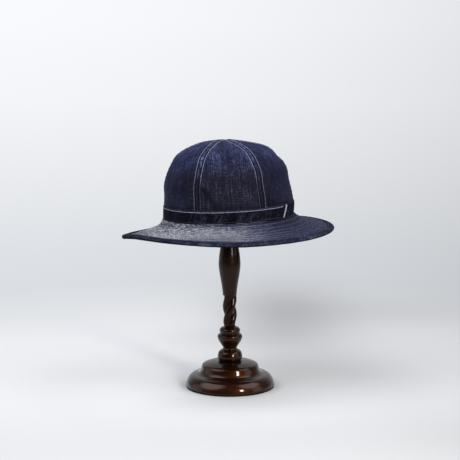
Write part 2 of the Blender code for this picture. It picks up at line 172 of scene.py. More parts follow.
STEM_PROFILE = (
    (0.600, 1.000), (0.600, 0.520), (0.700, 0.450), (0.830, 0.385), (0.925, 0.335),
    (0.980, 0.285), (1.000, 0.245), (0.960, 0.205), (0.880, 0.155), (0.780, 0.105),
    (0.690, 0.052), (0.630, 0.000),
)

# Barley twist
TWIST_RADIUS = 10.6 * MM
TWIST_GROOVE = 4.4 * MM
TWIST_STARTS = 3
TWIST_TURNS = 0.60
TWIST_START = 44.0
TWIST_FOOT_PINCH = 0.55
TWIST_TOP_PINCH = 0.10

# Waves that the turning tool left in the wood: their height, then each one's length, share and start
TOOL_WAVE = 0.030 * MM
TOOL_WAVES = ((1.55 * MM, 1.0, 0.0), (0.83 * MM, 0.6, 1.0))

# Seams: how far the double stitching lies from each seam, and the relief that it gives the cloth
ROW_OFFSET = 4.7 * MM
SEAM_RAISE = 0.55 * MM
SEAM_SPREAD = 6.6 * MM
SEAM_SOFT = 1.6 * MM
SEAM_ROLL = 0.75 * MM
SEAM_ROLL_WIDTH = 0.55 * MM
ROW_DEPTH = 0.35 * MM
ROW_WIDTH = 0.8 * MM
PUCKER_PITCH = 7.0 * MM
PUCKER_DEPTH = 0.22 * MM
PUCKER_DRIFT = 23.0 * MM
WRINKLE = 0.55 * MM
TIP_EASE = 14.0 * MM

# Band: shares of its height, how rounded its face is at each in mm, and its ripples
BAND_SHARES = (0.0, 0.03, 0.1, 0.2, 0.3, 0.4, 0.5, 0.6, 0.7, 0.8, 0.88, 0.93, 0.965, 0.985, 1.0)
BAND_ROUNDING = (0.35, 0.1, 0, 0, 0, 0, 0, 0, 0, 0, 0, 0.05, 0.2, 0.4, 0.75)
BAND_RIPPLE = 0.28 * MM
BAND_LENGTH = 2.0 * math.pi * 90.0 * MM
BAND_STITCHES_FROM = 0.14

# Selvedge: shares of its width, how rounded its face is at each in mm, and its levels
SELVEDGE_SHARES = (0.0, 0.08, 0.25, 0.5, 0.75, 0.92, 1.0)
SELVEDGE_ROUNDING = (0.5, 0.15, 0.0, -0.1, 0.0, 0.15, 0.5)
SELVEDGE_LEVELS = 25

# Lumps in the cloth: their size and seed, and the share of each layer where there are two
CROWN_LUMPS = ((26.0 * MM, 3.1, 1.0), (9.0 * MM, 8.7, 0.45))
BRIM_LUMPS = ((19.0 * MM, 1.9, 1.0), (7.0 * MM, 6.1, 0.5))
BAND_RIPPLES = (17.0 * MM, 5.3)
BINDING_LUMPS = (11.0 * MM, 4.4)
WORN_BEADS = (3.2 * MM, 12.3)

# Brim rings: how many, and the relief between them
RINGS = 7
RING_FIRST = 0.075
RING_DEPTH = 0.34 * MM
RING_WIDTH = 1.1 * MM
BRIM_PUFF = 0.28 * MM

# Binding: how much thicker it is at the front, over how many degrees, and its lumps and stitched row
THICK_FRONT = 0.42
THICK_AT = 182.0
THICK_WIDTH = 34.0
BINDING_LUMP = 0.22 * MM
BINDING_ROW = 1.9 * MM
BINDING_ROW_DEPTH = 0.25 * MM

# Crown's tone: how much more worn each panel looks, and what seams, folds and places add to it,
# with wear and painted light at the top, painted shade in folds, seam valleys and above the band,
# and painted sheen at the sides
CROWN_TONE = 0.41
PANEL_FADES = (0.0, 0.0, 0.0, 0.0, 0.045, -0.025)
CREASE_PAINTED_SHADE = 0.28
LUMP_TONE = 0.07
TOP_WEAR_AND_LIGHT = 0.11
VALLEY_SHADE = 0.30
VALLEY_AWAY = 3.0 * MM
VALLEY_WIDTH = 0.95 * MM
CROWN_BAND_SHADOW = 0.15
SIDE_SHEEN = 0.04

# Where on the crown those are: rises at which one starts and is full, or a middle and its width
TOP_WEAR_AND_LIGHT_RISES = (0.55, 0.88)
STRIPE_PALE_RISES = (0.42, 0.72)
SIDE_SHEEN_RISES = (0.62, 0.42)
THREAD_PALE_RISES = (0.42, 0.64)
BLUE_RISES = (0.50, 0.85)
CROWN_BAND_SHADOW_AT = (BAND_HEIGHT + 1.5 * MM, 3.2 * MM)

# Worn lines beside a seam: distance and width in mm, how pale, and how much paler near the top
SEAM_STRIPES = ((0.9, 0.75, 0.08, 0.30), (6.3, 1.2, 0.03, 0.07))

# Brim's tone: its plain and its palest tone, the front's pallor being partly wear and partly painted
# sheen, and what places on it add to it: painted shade by the band, towards the edge and at the back,
# painted light on the far side, and wear and painted shade on the welts
BRIM_TONE = 0.130
BRIM_WEAR_AND_SHEEN = 0.458
BRIM_BAND_SHADOW = 0.48
BRIM_EDGE_SHADE = 0.24
BRIM_BACK_SHADOW = 0.18
DARK_AT_MIDDLE = 0.065
PALE_PAST_MIDDLE = 0.065
FAR_SIDE_LIGHT = 0.18
PALE_ON_WELTS = 0.11
BRIM_LUMP_TONE = 0.035

# Where on the brim those are, in mm towards the back and the far side: a middle and its width, or
# where one starts and is full, and how far from the band or the binding it reaches
PALE_FRONT_EDGE = 78.0
PALE_FRONT_SLANT = 0.436
PALE_FRONT_SPREAD = 130.0
PALE_FRONT_LEAD = 0.47
BRIM_BAND_SHADOW_REACH = 6.2
FRONT_X = (5.0, -70.0)
BRIM_EDGE_SHADE_REACH = 22.0
BRIM_EDGE_SHADE_X = (25.0, -30.0)
BRIM_BACK_SHADOW_X = (82.0, 30.0)
BRIM_BACK_SHADOW_REACH = 26.0
MIDDLE_DARK_X = (-32.0, 40.0)
PAST_MIDDLE_X = (42.0, 30.0)
FAR_SIDE_X = (60.0, 90.0)
FAR_SIDE_Y = (5.0, 65.0)

# Binding's tone: its plain tone, and what places on it add to it: painted shade on its far side, its
# thick front and its underside, wear on its edge, and a paler back
BINDING_TONE = 0.44
BINDING_FAR_SHADE = 0.26
BINDING_THICK_SHADE = 0.30
BINDING_UNDER_SHADE = 0.22
BINDING_EDGE_WORN = 0.14
BINDING_BACK_PALE = 0.05

# Cloth colours, from the least to the most faded
CROWN_TONES = (
    (0.15, (0.0022, 0.0022, 0.0070)),
    (0.50, (0.0082, 0.0082, 0.0185)),
    (0.75, (0.0340, 0.0350, 0.0570)),
    (1.00, (0.1500, 0.1550, 0.2050)),
)
LINING_TONES = (
    (0.15, (0.060, 0.068, 0.105)),
    (0.50, (0.140, 0.150, 0.200)),
    (0.85, (0.300, 0.310, 0.350)),
)
BAND_TONES = (
    (0.15, (0.0010, 0.0010, 0.0034)),
    (0.50, (0.0026, 0.0026, 0.0072)),
    (0.95, (0.0380, 0.0400, 0.0600)),
)
BRIM_TONES = (
    (0.00, (0.0040, 0.0045, 0.0140)),
    (0.30, (0.0200, 0.0230, 0.0520)),
    (0.50, (0.0710, 0.0735, 0.1010)),
    (0.70, (0.2310, 0.2360, 0.2640)),
    (1.00, (0.6200, 0.6300, 0.6600)),
)
BINDING_TONES = (
    (0.15, (0.0020, 0.0022, 0.0070)),
    (0.50, (0.0080, 0.0088, 0.0230)),
    (0.95, (0.0800, 0.0880, 0.1300)),
)
SELVEDGE_TONES = ((0.25, (0.088, 0.088, 0.104)), (0.85, (0.40, 0.40, 0.45)))
INDIGO_TINT = (0.95, 1.11, 1.74, 1.0)

# Twill: pitch and slope of its lines, and how much they and the yarns show in tone and relief
TWILL_PITCH = 1.15 * MM
TWILL_SLOPE = 1.6
TWILL_TONE = 0.03
TWILL_RELIEF = 0.25
WEFT_RELIEF = 0.7
YARN_DEPTH = 0.35 * MM

# Unevenness of the yarns: how often in a metre across and along them, strength and detail
CROWN_WEAVE = (
    (600.0, 75.0, 0.72, 3.0),
    (100.0, 520.0, 0.48, 2.0),
    (300.0, 26.0, 0.55, 2.0),
    (420.0, 420.0, 0.55, 1.0),
    (50.0, 36.0, 0.50, 3.0),
)
BRIM_WEAVE = (
    (120.0, 620.0, 0.95, 2.0),
    (420.0, 190.0, 0.40, 2.0),
    (60.0, 300.0, 0.46, 2.0),
    (560.0, 560.0, 0.75, 1.0),
    (50.0, 50.0, 0.16, 2.0),
)

# Selvedge: how often its ribs and its soiling come in a metre, and how much paler it is higher up
SELVEDGE_RIBS = (250.0, 1500.0, 1.0)
SELVEDGE_SOIL = (300.0, 160.0, 1.0)
SELVEDGE_CLEANER = 12.0

# Thread: its dark and pale colour in each place, and how pale it is: low on the crown, where it is
# partly soiled and partly in painted shade, most on the faint panel, and clean higher up
SEAM_THREAD = ((0.03, 0.03, 0.05), (0.44, 0.45, 0.64))
BAND_THREAD = ((0.04, 0.04, 0.06), (0.44, 0.45, 0.55))
# the band's foot row: brown thread, made much darker as painted shade at the band's foot
BAND_FOOT_THREAD = ((0.008, 0.007, 0.006), (0.052, 0.045, 0.034))
BRIM_THREAD = ((0.016, 0.018, 0.038), (0.76, 0.76, 0.77))
BINDING_THREAD = ((0.012, 0.014, 0.026), (0.10, 0.11, 0.15))
FAINT_THREAD = 0.12
PLAIN_THREAD = 0.55
PALE_THREAD = 0.9
FAINT_PANEL = 4
RING_ROW_TONE = 0.05
RING_ROW_PALE = 0.60
EDGE_ROW_PALE = 0.10
UNDER_ROW_TONE = 0.3
THREAD_UNEVEN = 0.3
THREAD_FUZZ = 900.0
THREAD_TWIST = 2500.0

# Stitches: pitch, length and thickness in mm, then the stages of one: place along it, width and lift
PLAIN_STITCH = (3.0, 2.35, 0.27)
TACK_STITCH = (6.2, 5.9, 0.42)
BINDING_STITCH = (3.0, 2.3, 0.24)
STITCH_STAGES = (
    (0.0, 0.35, -0.9),
    (0.12, 0.8, 0.1),
    (0.5, 1.0, 0.55),
    (0.88, 0.8, 0.1),
    (1.0, 0.35, -0.9),
)
STITCH_UNEVEN = 0.30
GOLDEN_ANGLE = 2.399

# Tack at the crown's top: how many stitches cross there, their half lengths and their middle
TACKS = 9
TACK_REACHES = (3.2 * MM, 3.8 * MM, 4.4 * MM)
TACK_PLACE = (0.0, -1.0 * MM, CROWN_HEIGHT + 0.35 * MM)
TACK_SHADE = 0.95

# Band's rows: piece, height and depth in mm, thread and its colours, and stitch
BAND_ROWS = (
    ("band_top_stitches", 17.6, 0.25, "band_thread", BAND_THREAD, (2.7, 2.4, 0.34)),
    ("band_foot_stitches", 2.4, 0.20, "band_foot_thread", BAND_FOOT_THREAD, (2.8, 2.3, 0.26)),
)

# Wood, and the dark band of painted contact shadow at its foot: how often pores and figure come in a
# metre across and along the grain
WOOD_PORES = (420.0, 22.0)
WOOD_FIGURE = (60.0, 7.0)
WOOD_TONES = (
    (0.32, (0.0012, 0.0005, 0.0003)),
    (0.52, (0.0045, 0.0013, 0.0005)),
    (0.75, (0.0200, 0.0050, 0.0010)),
)
FOOT_SHADOW_HEIGHT = 2.8 * MM
FOOT_SHADOW_FIBRES = 900.0
FOOT_SHADOW_TONES = ((0.3, (0.0025, 0.0028, 0.0045)), (0.7, (0.0095, 0.0100, 0.0150)))

# Room light: where each patch is, the cosines from its centre at which it fades in and is full, power
ROOM_LIGHTS = (
    ((0.0, 0.25, 1.0), (0.80, 0.97), 0.60),
    ((-0.60, -0.26, 0.75), (0.83, 0.97), 2.90),
    ((0.0, 1.0, 0.25), (0.40, 0.90), 0.45),
    ((0.60, -0.20, 0.76), (0.88, 0.98), 2.80),
    ((-1.0, 0.10, 0.18), (0.90, 0.98), 0.72),
    ((1.0, -0.26, 0.22), (0.94, 0.99), 1.25),
)
ROOM_DIM = 0.08
ROOM_COLOUR = (0.965, 0.98, 1.0, 1.0)

# Lamps: name, place, size, watts, colour, and whether they show in gloss; all aim at one point
LAMPS = (
    ("overhead", (-0.45, -0.75, 2.1), (2.0, 1.6), 28.5, (0.97, 0.985, 1.0), False),
    ("small_window", (0.80, -1.35, 0.64), (0.25, 0.42), 18.0, (1.0, 0.95, 0.88), True),
)
LAMP_AIM = (0.0, 0.0, 0.1)

# Camera: a long lens, its length given in pixels of the 460 pixel frame
CAMERA_PLACE = (0.9 * MM, -2.4, 0.611)
CAMERA_AIM = (0.9 * MM, 0.0, 0.240)
CAMERA_ROLL = 0.27
CAMERA_PIXELS = 1619.0
FRAME_PIXELS = 460.0
SENSOR_WIDTH = 36.0

# Backdrop tones, by the logarithm of the distance in metres plus one, over 4
FLOOR_TONES = (
    (0.101, (0.730, 0.745, 0.765)),
    (0.125, (0.690, 0.708, 0.732)),
    (0.160, (0.650, 0.670, 0.700)),
    (0.208, (0.670, 0.690, 0.720)),
    (0.283, (0.725, 0.742, 0.768)),
    (0.376, (0.780, 0.792, 0.820)),
    (0.483, (0.830, 0.840, 0.870)),
    (0.761, (0.870, 0.878, 0.910)),
    (1.000, (0.875, 0.882, 0.915)),
)
FLOOR_COLOUR = (0.530, 0.535, 0.551)
FLOOR_SIZE = 80.0

# Floor's brightness from side to side: its level, how it falls to the right and off its middle
FLOOR_LEVEL = 1.035
FLOOR_TILT = 0.70
FLOOR_MIDDLE = 0.02
FLOOR_BOW = 1.8

# Softly shaded spots on the floor: centre, width each way and depth
FLOOR_SHADES = (
    ((0.10, 0.52), (0.12, 0.28), 0.36),
    ((-0.02, -0.12), (0.11, 0.07), 0.12),
    ((0.02, 0.34), (0.16, 0.09), 0.10),
    ((0.03, -0.05), (0.12, 0.075), 0.11),
    ((0.01, -0.09), (0.09, 0.045), 0.09),
    ((0.33, -0.27), (0.12, 0.12), 0.07),
    ((0.27, 0.54), (0.17, 0.14), 0.10),
)

# Soft steps in the floor's brightness: where each starts and ends, and its value before and after
FLOOR_EDGE = (-0.85, -0.45, 0.45, 1.0)
FLOOR_FRONT = (-0.36, 0.02, 0.86, 1.0)
FLOOR_CLOSE = (0.06, 0.30, 1.22, 1.0)
FLOOR_CONTACT = (0.068, 0.086, 0.84, 1.0)
FLOOR_GLOW = (0.38, 0.85)

# How finely each piece is made
PANEL_COLUMNS = 88
PANEL_ROWS = 112
BAND_STATIONS = 420
BRIM_STATIONS = 480
BRIM_TOP_POINTS = 74
BRIM_UNDER_POINTS = 30
LATHE_STATIONS = 128
TWIST_LEVELS = 150
TWIST_STATIONS = 96
STITCH_SIDES = 6


def on_curve(values, place, closed=False):
    """Values at fractional places along a list, on a smooth curve through them."""
    values = np.asarray(values, float)
    place = np.asarray(place, float)
    count = len(values)
    start = np.clip(np.floor(place).astype(int), 0, (count if closed else count - 1) - 1)
    share = place - start
    if closed:
        a, b, c, d = (values[(start + step) % count] for step in (-1, 0, 1, 2))
    else:
        ends = ([2 * values[0] - values[1]], values, [2 * values[-1] - values[-2]])
        longer = np.concatenate(ends)
        a, b, c, d = (longer[start + step] for step in range(4))
    cubic = 3 * b - a - 3 * c + d
    square = 2 * a - 5 * b + 4 * c - d
    return 0.5 * (2 * b + (c - a) * share + square * share**2 + cubic * share**3)


def smooth(value):
    value = np.clip(value, 0.0, 1.0)
    return value * value * (3.0 - 2.0 * value)


def step_between(value, start, end):
    """A smooth step from 0 at start to 1 at end."""
    return smooth((value - start) / (end - start))


def bell(distance, width):
    return np.exp(-((distance / width) ** 2))


def hump(value, middle, width):
    return bell(value - middle, width)


def signed_power(value, power):
    return np.sign(value) * np.abs(value) ** power


def unit(vectors):
    return vectors / np.maximum(np.linalg.norm(vectors, axis=-1, keepdims=True), 1e-12)


def turn_from(degrees, direction):
    """How many degrees it is round from a direction, from -180 to 180."""
    return (degrees - direction + 180.0) % 360.0 - 180.0


def looped(points):
    """Points round a loop, with the first one again at their end."""
    return np.concatenate([points, points[:1]])


def travel_along(points):
    """How far along a path each of its points lies."""
    steps = np.linalg.norm(np.diff(points, axis=0), axis=1)
    return np.concatenate([[0.0], np.cumsum(steps)])


def at_travel(reach, travel, values):
    """Places or directions at these distances along a path."""
    return np.stack([np.interp(reach, travel, values[:, k]) for k in range(3)], -1)


def oval(front, back, side, squareness, degrees):
    along = np.cos(np.radians(degrees))
    across = np.sin(np.radians(degrees))
    power = 2.0 / squareness
    x = np.where(along < 0.0, front, back) * signed_power(along, power)
    return x, side * signed_power(across, power)


def saddle(degrees):
    return -OPENING_SADDLE * np.sin(np.radians(degrees)) ** 2


def crown_face(degrees, step, out=None):
    """Points on the crown's outer face, or this far off it as it would be with no dents."""
    degrees, step = np.broadcast_arrays(np.asarray(degrees, float), np.asarray(step, float))
    rows = np.array(CROWN_ROWS)
    rise, front, back, side = (on_curve(rows[:, column], step) for column in range(4))
    inward = 0.0
    if out is None:
        for direction, height, share, wide, tall in CROWN_DENTS:
            turn = turn_from(degrees, direction)
            depth = share * DENT_DEPTH * bell(turn, wide) * bell(rise - height, tall)
            inward = inward + depth * (1.0 - rise)
    else:
        inward = -out
    tip = 0.3 * MM
    x, y = oval(
        np.maximum(front * CROWN_FRONT - inward, tip),
        np.maximum(back * CROWN_BACK - inward, tip),
        np.maximum(side * CROWN_SIDE - inward, tip),
        OVAL_AT_FOOT + (OVAL_AT_TOP - OVAL_AT_FOOT) * rise,
        degrees,
    )
    z = rise * CROWN_HEIGHT + saddle(degrees) * (1.0 - rise) ** 2
    return np.stack([x, y, z], -1)


def crown_step_at(height):
    """The place in CROWN_ROWS whose rise is this height."""
    steps = np.linspace(0.0, len(CROWN_ROWS) - 1.0, 2001)
    rises = on_curve([row[0] for row in CROWN_ROWS], steps) * CROWN_HEIGHT
    return np.interp(height, rises, steps)


def foot_face(degrees, height, out):
    """Points near the crown's foot, this high above the brim and this far out from the crown."""
    points = crown_face(degrees, crown_step_at(height), out)
    points[..., 2] = height + saddle(degrees)
    return points


def band_out(degrees):
    layer = BAND_WALL + CLEARANCE
    lap_start = BAND_END - BAND_LAP
    return layer + layer * smooth((degrees - (lap_start - BAND_LAP)) / BAND_LAP)


def band_end(height_share):
    return BAND_END - BAND_END_SLANT * (1.0 - height_share)


def brim_face(degrees, share):
    """Points on the brim's upper face: share 0 is at the band's foot and 1 at the outer edge."""
    degrees, share = np.broadcast_arrays(np.asarray(degrees, float), np.asarray(share, float))
    collar = 2.0 * CLEARANCE + BAND_WALL
    inner_x, inner_y = oval(
        CROWN_FRONT + collar, CROWN_BACK + collar, CROWN_SIDE + collar, OVAL_AT_FOOT, degrees
    )
    trim = CLEARANCE + BINDING_WALL
    outer_x, outer_y = oval(
        BRIM_FRONT - trim, BRIM_BACK - trim, BRIM_SIDE - trim, BRIM_OVAL, degrees
    )
    turn = 360.0 / len(BRIM_EDGE)
    drop = BRIM_DROP * on_curve(BRIM_EDGE, (degrees % 360.0) / turn, closed=True)
    rightness = np.maximum(0.0, np.sin(np.radians(degrees)))
    frontness = np.maximum(0.0, -np.cos(np.radians(degrees))) ** 2
    eased = frontness * (1.0 - BRIM_SAG_EASE * rightness)
    sag = BRIM_SAG + (BRIM_SAG_FRONT - BRIM_SAG) * eased
    inner_z = saddle(degrees)
    x = inner_x + (outer_x - inner_x) * share
    y = inner_y + (outer_y - inner_y) * share
    hollow = SAG_PEAK * share * (1.0 - share) ** 2
    z = inner_z + (-drop - inner_z) * share - sag * hollow
    return np.stack([x, y, z], -1)


def grid_normals(points, wrap):
    """Outward normals of a grid: rows climb or run inward to outward, columns run round the hat."""
    if wrap:
        around = np.roll(points, -1, 1) - np.roll(points, 1, 1)
    else:
        around = np.gradient(points, axis=1)
    along = np.gradient(points, axis=0)
    return unit(np.cross(around, along))


def cloth_noise(points, size, seed):
    """Smooth noise of about -1 to 1 at points, whose lumps are about this size."""
    flat = points.reshape(-1, 3) / size + seed
    values = [noise.noise(Vector(point)) for point in flat]
    return np.array(values).reshape(points.shape[:-1])


def cloth_lumps(points, layers):
    return sum(share * cloth_noise(points, size, seed) for size, seed, share in layers)


def hat_matrix():
    turn = Matrix.Rotation(math.radians(PITCH), 4, "Y") @ Matrix.Rotation(math.radians(ROLL), 4, "X")
    tip = turn @ Vector((0.0, 0.0, CROWN_HEIGHT))
    top = max(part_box(f"crown_panel_{index}")[1].z for index in range(1, 7))
    return Matrix.Translation(Vector((-FORWARD - tip.x, -tip.y, top - tip.z))) @ turn


def add_piece(name, points, faces, corners, materials, marks=None, place=None):
    """A mesh piece, with a texture place for each face corner and marks, values for each point."""
    mesh = bpy.data.meshes.new(name)
    mesh.from_pydata(np.asarray(points).tolist(), [], [list(face) for face in faces])
    layer = mesh.uv_layers.new(name="grain")
    layer.data.foreach_set("uv", np.asarray(corners, np.float32).ravel())
    for mark, values in (marks or {}).items():
        attribute = mesh.attributes.new(mark, "FLOAT", "POINT")
        attribute.data.foreach_set("value", np.asarray(values, np.float32).ravel())
    for material in materials:
        mesh.materials.append(material)
    if place is not None:
        mesh.transform(place)
    mesh.shade_smooth()
    piece = bpy.data.objects.new(name, mesh)
    bpy.context.scene.collection.objects.link(piece)
    return piece


def grid_faces(rows, columns, wrap):
    spans = columns if wrap else columns - 1
    row, column = np.meshgrid(np.arange(rows - 1), np.arange(spans), indexing="ij")
    beside = (column + 1) % columns
    corners = (
        row * columns + column,
        row * columns + beside,
        (row + 1) * columns + beside,
        (row + 1) * columns + column,
    )
    return np.stack(corners, -1).reshape(-1, 4)


def grid_corners(grain):
    """Texture places of each face's corners, in an open grid."""
    lower, upper = grain[:-1], grain[1:]
    around = (lower[:, :-1], lower[:, 1:], upper[:, 1:], upper[:, :-1])
    return np.stack(around, 2).reshape(-1, 2)


def ring_piece(name, rings, grain, materials, closed, marks=None, place=None):
    """A tube through rings of points, shape (stations, points round, 3), capped if it isn't closed.

    grain has one more station if the path is closed, and one more point round in every case.
    """
    stations, around = rings.shape[:2]
    runs = stations if closed else stations - 1
    station, spot = np.meshgrid(np.arange(runs), np.arange(around), indexing="ij")
    ahead = (station + 1) % stations
    beside = (spot + 1) % around
    corners = ((station, spot), (ahead, spot), (ahead, beside), (station, beside))
    quads = np.stack([place * around + turn for place, turn in corners], -1).reshape(-1, 4)
    places = np.stack((grain[:-1, :-1], grain[1:, :-1], grain[1:, 1:], grain[:-1, 1:]), 2)
    points = rings.reshape(-1, 3)
    a, b, c, d = (points[quads[:, corner]] for corner in range(4))
    volume = (np.cross(b - a, c - a) * a).sum() + (np.cross(c - a, d - a) * a).sum()
    outward = slice(None, None, -1 if volume < 0.0 else 1)
    faces = quads[:, outward].tolist()
    grains = [places.reshape(-1, 4, 2)[:, outward].reshape(-1, 2)]
    if not closed:
        first, last = np.arange(around)[::-1], (stations - 1) * around + np.arange(around)
        for cap, cap_grain in ((first, grain[0, :-1][::-1]), (last, grain[-1, :-1])):
            faces.append(cap[outward].tolist())
            grains.append(cap_grain[outward])
    return add_piece(name, points, faces, np.concatenate(grains), materials, marks, place)


def stitch_runs(paths, pitch, length):
    """Starts, ends, normals and shades of the stitches along paths of points, normals and shades."""
    starts, ends, ups, shades = [], [], [], []
    for points, normals, shade in paths:
        travel = travel_along(points)
        count = int(travel[-1] / pitch)
        spare = (travel[-1] - count * pitch) / 2.0
        begin = spare + pitch * np.arange(count) + (pitch - length) / 2.0
        starts.append(at_travel(begin, travel, points))
        ends.append(at_travel(begin + length, travel, points))
        middle = begin + length / 2.0
        ups.append(unit(at_travel(middle, travel, normals)))
        spread = np.sin(np.arange(count) * GOLDEN_ANGLE + 11.0 * len(shades))
        uneven = 1.0 + STITCH_UNEVEN * spread
        shades.append(np.interp(middle, travel, shade) * uneven)
    return (np.concatenate(part) for part in (starts, ends, ups, shades))


def stitch_piece(name, paths, material, place, sizes=PLAIN_STITCH):
    """Every stitch of the paths as a small bead of thread that dives into the cloth at both ends."""
    pitch, length, thread = (size * MM for size in sizes)
    starts, ends, ups, shades = stitch_runs(paths, pitch, length)
    along = ends - starts
    side = unit(np.cross(along, ups))
    sides = STITCH_SIDES
    rings = []
    for share, width, lift in STITCH_STAGES:
        middle = starts + along * share + ups * (lift * thread)
        for spot in range(sides):
            angle = 2.0 * math.pi * spot / sides
            reach = side * math.cos(angle) + ups * math.sin(angle)
            rings.append(middle + reach * (thread * width))
    points = np.stack(rings, 1)
    count, each = points.shape[:2]
    template = []
    for stage in range(len(STITCH_STAGES) - 1):
        for spot in range(sides):
            beside = (spot + 1) % sides
            low, high = stage * sides, (stage + 1) * sides
            template.append((low + spot, low + beside, high + beside, high + spot))
    faces = (np.array(template)[None] + np.arange(count)[:, None, None] * each).reshape(-1, 4)
    corners = np.zeros((faces.size, 2))
    marks = {"shade": np.repeat(shades, each)}
    piece = add_piece(name, points.reshape(-1, 3), faces, corners, [material], marks, place)
    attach(piece, "root")


def feed(socket, value):
    """Sets an input to a number or colour, or links it to an output."""
    if isinstance(value, bpy.types.NodeSocket):
        socket.id_data.links.new(value, socket)
    else:
        socket.default_value = value


def set_inputs(node, **values):
    """Feeds the inputs with these names, in which _ stands for a space."""
    for name, value in values.items():
        feed(node.inputs[name.replace("_", " ")], value)


def math_node(operation, *values):
    """A sum, product or the like, in the tree that the first value comes from."""
    node = values[0].id_data.nodes.new("ShaderNodeMath")
    node.operation = operation
    for socket, value in zip(node.inputs, values):
        feed(socket, value)
    return node.outputs[0]


def product(first, second):
    return math_node("MULTIPLY", first, second)


def scaled(value, factor, more):
    """The value times the factor, plus more."""
    return math_node("MULTIPLY_ADD", value, factor, more)


def vector_node(tree, operation, vector):
    node = tree.nodes.new("ShaderNodeVectorMath")
    node.operation = operation
    feed(node.inputs[0], vector)
    return node


def step_node(value, start, end, low=0.0, high=1.0):
    """A smooth step from low, where the value is start, to high, where it is end."""
    node = value.id_data.nodes.new("ShaderNodeMapRange")
    node.interpolation_type = "SMOOTHSTEP"
    set_inputs(node, Value=value, From_Min=start, From_Max=end, To_Min=low, To_Max=high)
    return node.outputs[0]


def place_node(tree):
    """The place in the model, in metres."""
    return tree.nodes.new("ShaderNodeTexCoord").outputs["Object"]


def grain_node(tree):
    """The place on the cloth, in metres across and along its yarns."""
    node = tree.nodes.new("ShaderNodeUVMap")
    node.uv_map = "grain"
    return node.outputs["UV"]


def split_node(vector):
    node = vector.id_data.nodes.new("ShaderNodeSeparateXYZ")
    feed(node.inputs[0], vector)
    return node.outputs


def noise_node(vector, scale, detail, roughness):
    """Noise whose scale differs along each axis."""
    mapping = vector.id_data.nodes.new("ShaderNodeMapping")
    set_inputs(mapping, Scale=scale, Vector=vector)
    node = vector.id_data.nodes.new("ShaderNodeTexNoise")
    set_inputs(node, Vector=mapping.outputs[0], Scale=1.0, Detail=detail, Roughness=roughness)
    return node.outputs["Fac"]


def mark_node(tree, name):
    """A value that the mesh carries at each point."""
    node = tree.nodes.new("ShaderNodeAttribute")
    node.attribute_name = name
    return node.outputs["Fac"]


def ramp_node(factor, stops):
    node = factor.id_data.nodes.new("ShaderNodeValToRGB")
    ramp = node.color_ramp
    while len(ramp.elements) < len(stops):
        ramp.elements.new(0.5)
    for element, (place, colour) in zip(ramp.elements, stops):
        element.position = place
        element.color = (*colour, 1.0)
    set_inputs(node, Fac=factor)
    return node.outputs["Color"]


def bump_node(height, strength, depth):
    node = height.id_data.nodes.new("ShaderNodeBump")
    set_inputs(node, Height=height, Strength=strength, Distance=depth)
    return node.outputs["Normal"]


def new_material(name):
    material = bpy.data.materials.new(name)
    material.use_nodes = True
    tree = material.node_tree
    return material, tree, tree.nodes["Principled BSDF"]


def denim(name, stops, weave, sheen=0.03, gloss=0.10):
    """Indigo twill whose tone follows the cloth's "fade" mark, which carries wear and painted light
    and shade, and the unevenness of its yarns.
    """
    material, tree, shader = new_material(name)
    place = grain_node(tree)
    value = mark_node(tree, "fade")
    yarns = []
    for across, along, share, detail in weave:
        yarns.append(noise_node(place, (across, along, 1.0), detail, 0.6))
        value = scaled(math_node("SUBTRACT", yarns[-1], 0.5), share, value)
    parts = split_node(place)
    slope = scaled(parts["X"], TWILL_SLOPE, parts["Y"])
    twill = math_node("SINE", product(slope, 2.0 * math.pi / TWILL_PITCH))
    value = scaled(twill, TWILL_TONE, value)
    tint = tree.nodes.new("ShaderNodeMix")
    tint.data_type = "RGBA"
    tint.blend_type = "MULTIPLY"
    sockets = {socket.identifier: socket for socket in (*tint.inputs, *tint.outputs)}
    feed(sockets["Factor_Float"], mark_node(tree, "blue"))
    feed(sockets["A_Color"], ramp_node(value, stops))
    feed(sockets["B_Color"], INDIGO_TINT)
    height = scaled(yarns[1], WEFT_RELIEF, scaled(twill, TWILL_RELIEF, yarns[0]))
    set_inputs(
        shader,
        Base_Color=sockets["Result_Color"],
        Normal=bump_node(height, 0.5, YARN_DEPTH),
        Roughness=scaled(yarns[-1], 0.2, 0.7),
        Specular_IOR_Level=gloss,
        Sheen_Weight=sheen,
        Sheen_Roughness=0.45,
        Sheen_Tint=(0.62, 0.70, 1.0, 1.0),
    )
    return material


def thread_material(name, dark, pale):
    """Spun thread whose colour runs from dark to pale with each stitch's "shade" mark."""
    material, tree, shader = new_material(name)
    place = place_node(tree)
    fuzz = noise_node(place, [THREAD_FUZZ] * 3, 2.0, 0.6)
    twist = noise_node(place, [THREAD_TWIST] * 3, 1.0, 0.5)
    shade = math_node("SUBTRACT", mark_node(tree, "shade"), THREAD_UNEVEN / 2.0)
    tone = ramp_node(scaled(fuzz, THREAD_UNEVEN, shade), ((0.0, dark), (1.0, pale)))
    set_inputs(shader, Base_Color=tone, Normal=bump_node(twist, 0.4, 0.1 * MM), Roughness=0.75)
    return material


def selvedge_material():
    """Greyish white selvedge with close crosswise ribs, a little more soiled towards its foot."""
    material, tree, shader = new_material("selvedge_white")
    place = grain_node(tree)
    ribs = noise_node(place, SELVEDGE_RIBS, 1.0, 0.5)
    soil = noise_node(place, SELVEDGE_SOIL, 3.0, 0.6)
    value = scaled(ribs, 0.4, product(soil, 0.6))
    tone = ramp_node(scaled(split_node(place)["Y"], SELVEDGE_CLEANER, value), SELVEDGE_TONES)
    set_inputs(shader, Base_Color=tone, Normal=bump_node(ribs, 0.6, 0.2 * MM), Roughness=0.85)
    return material


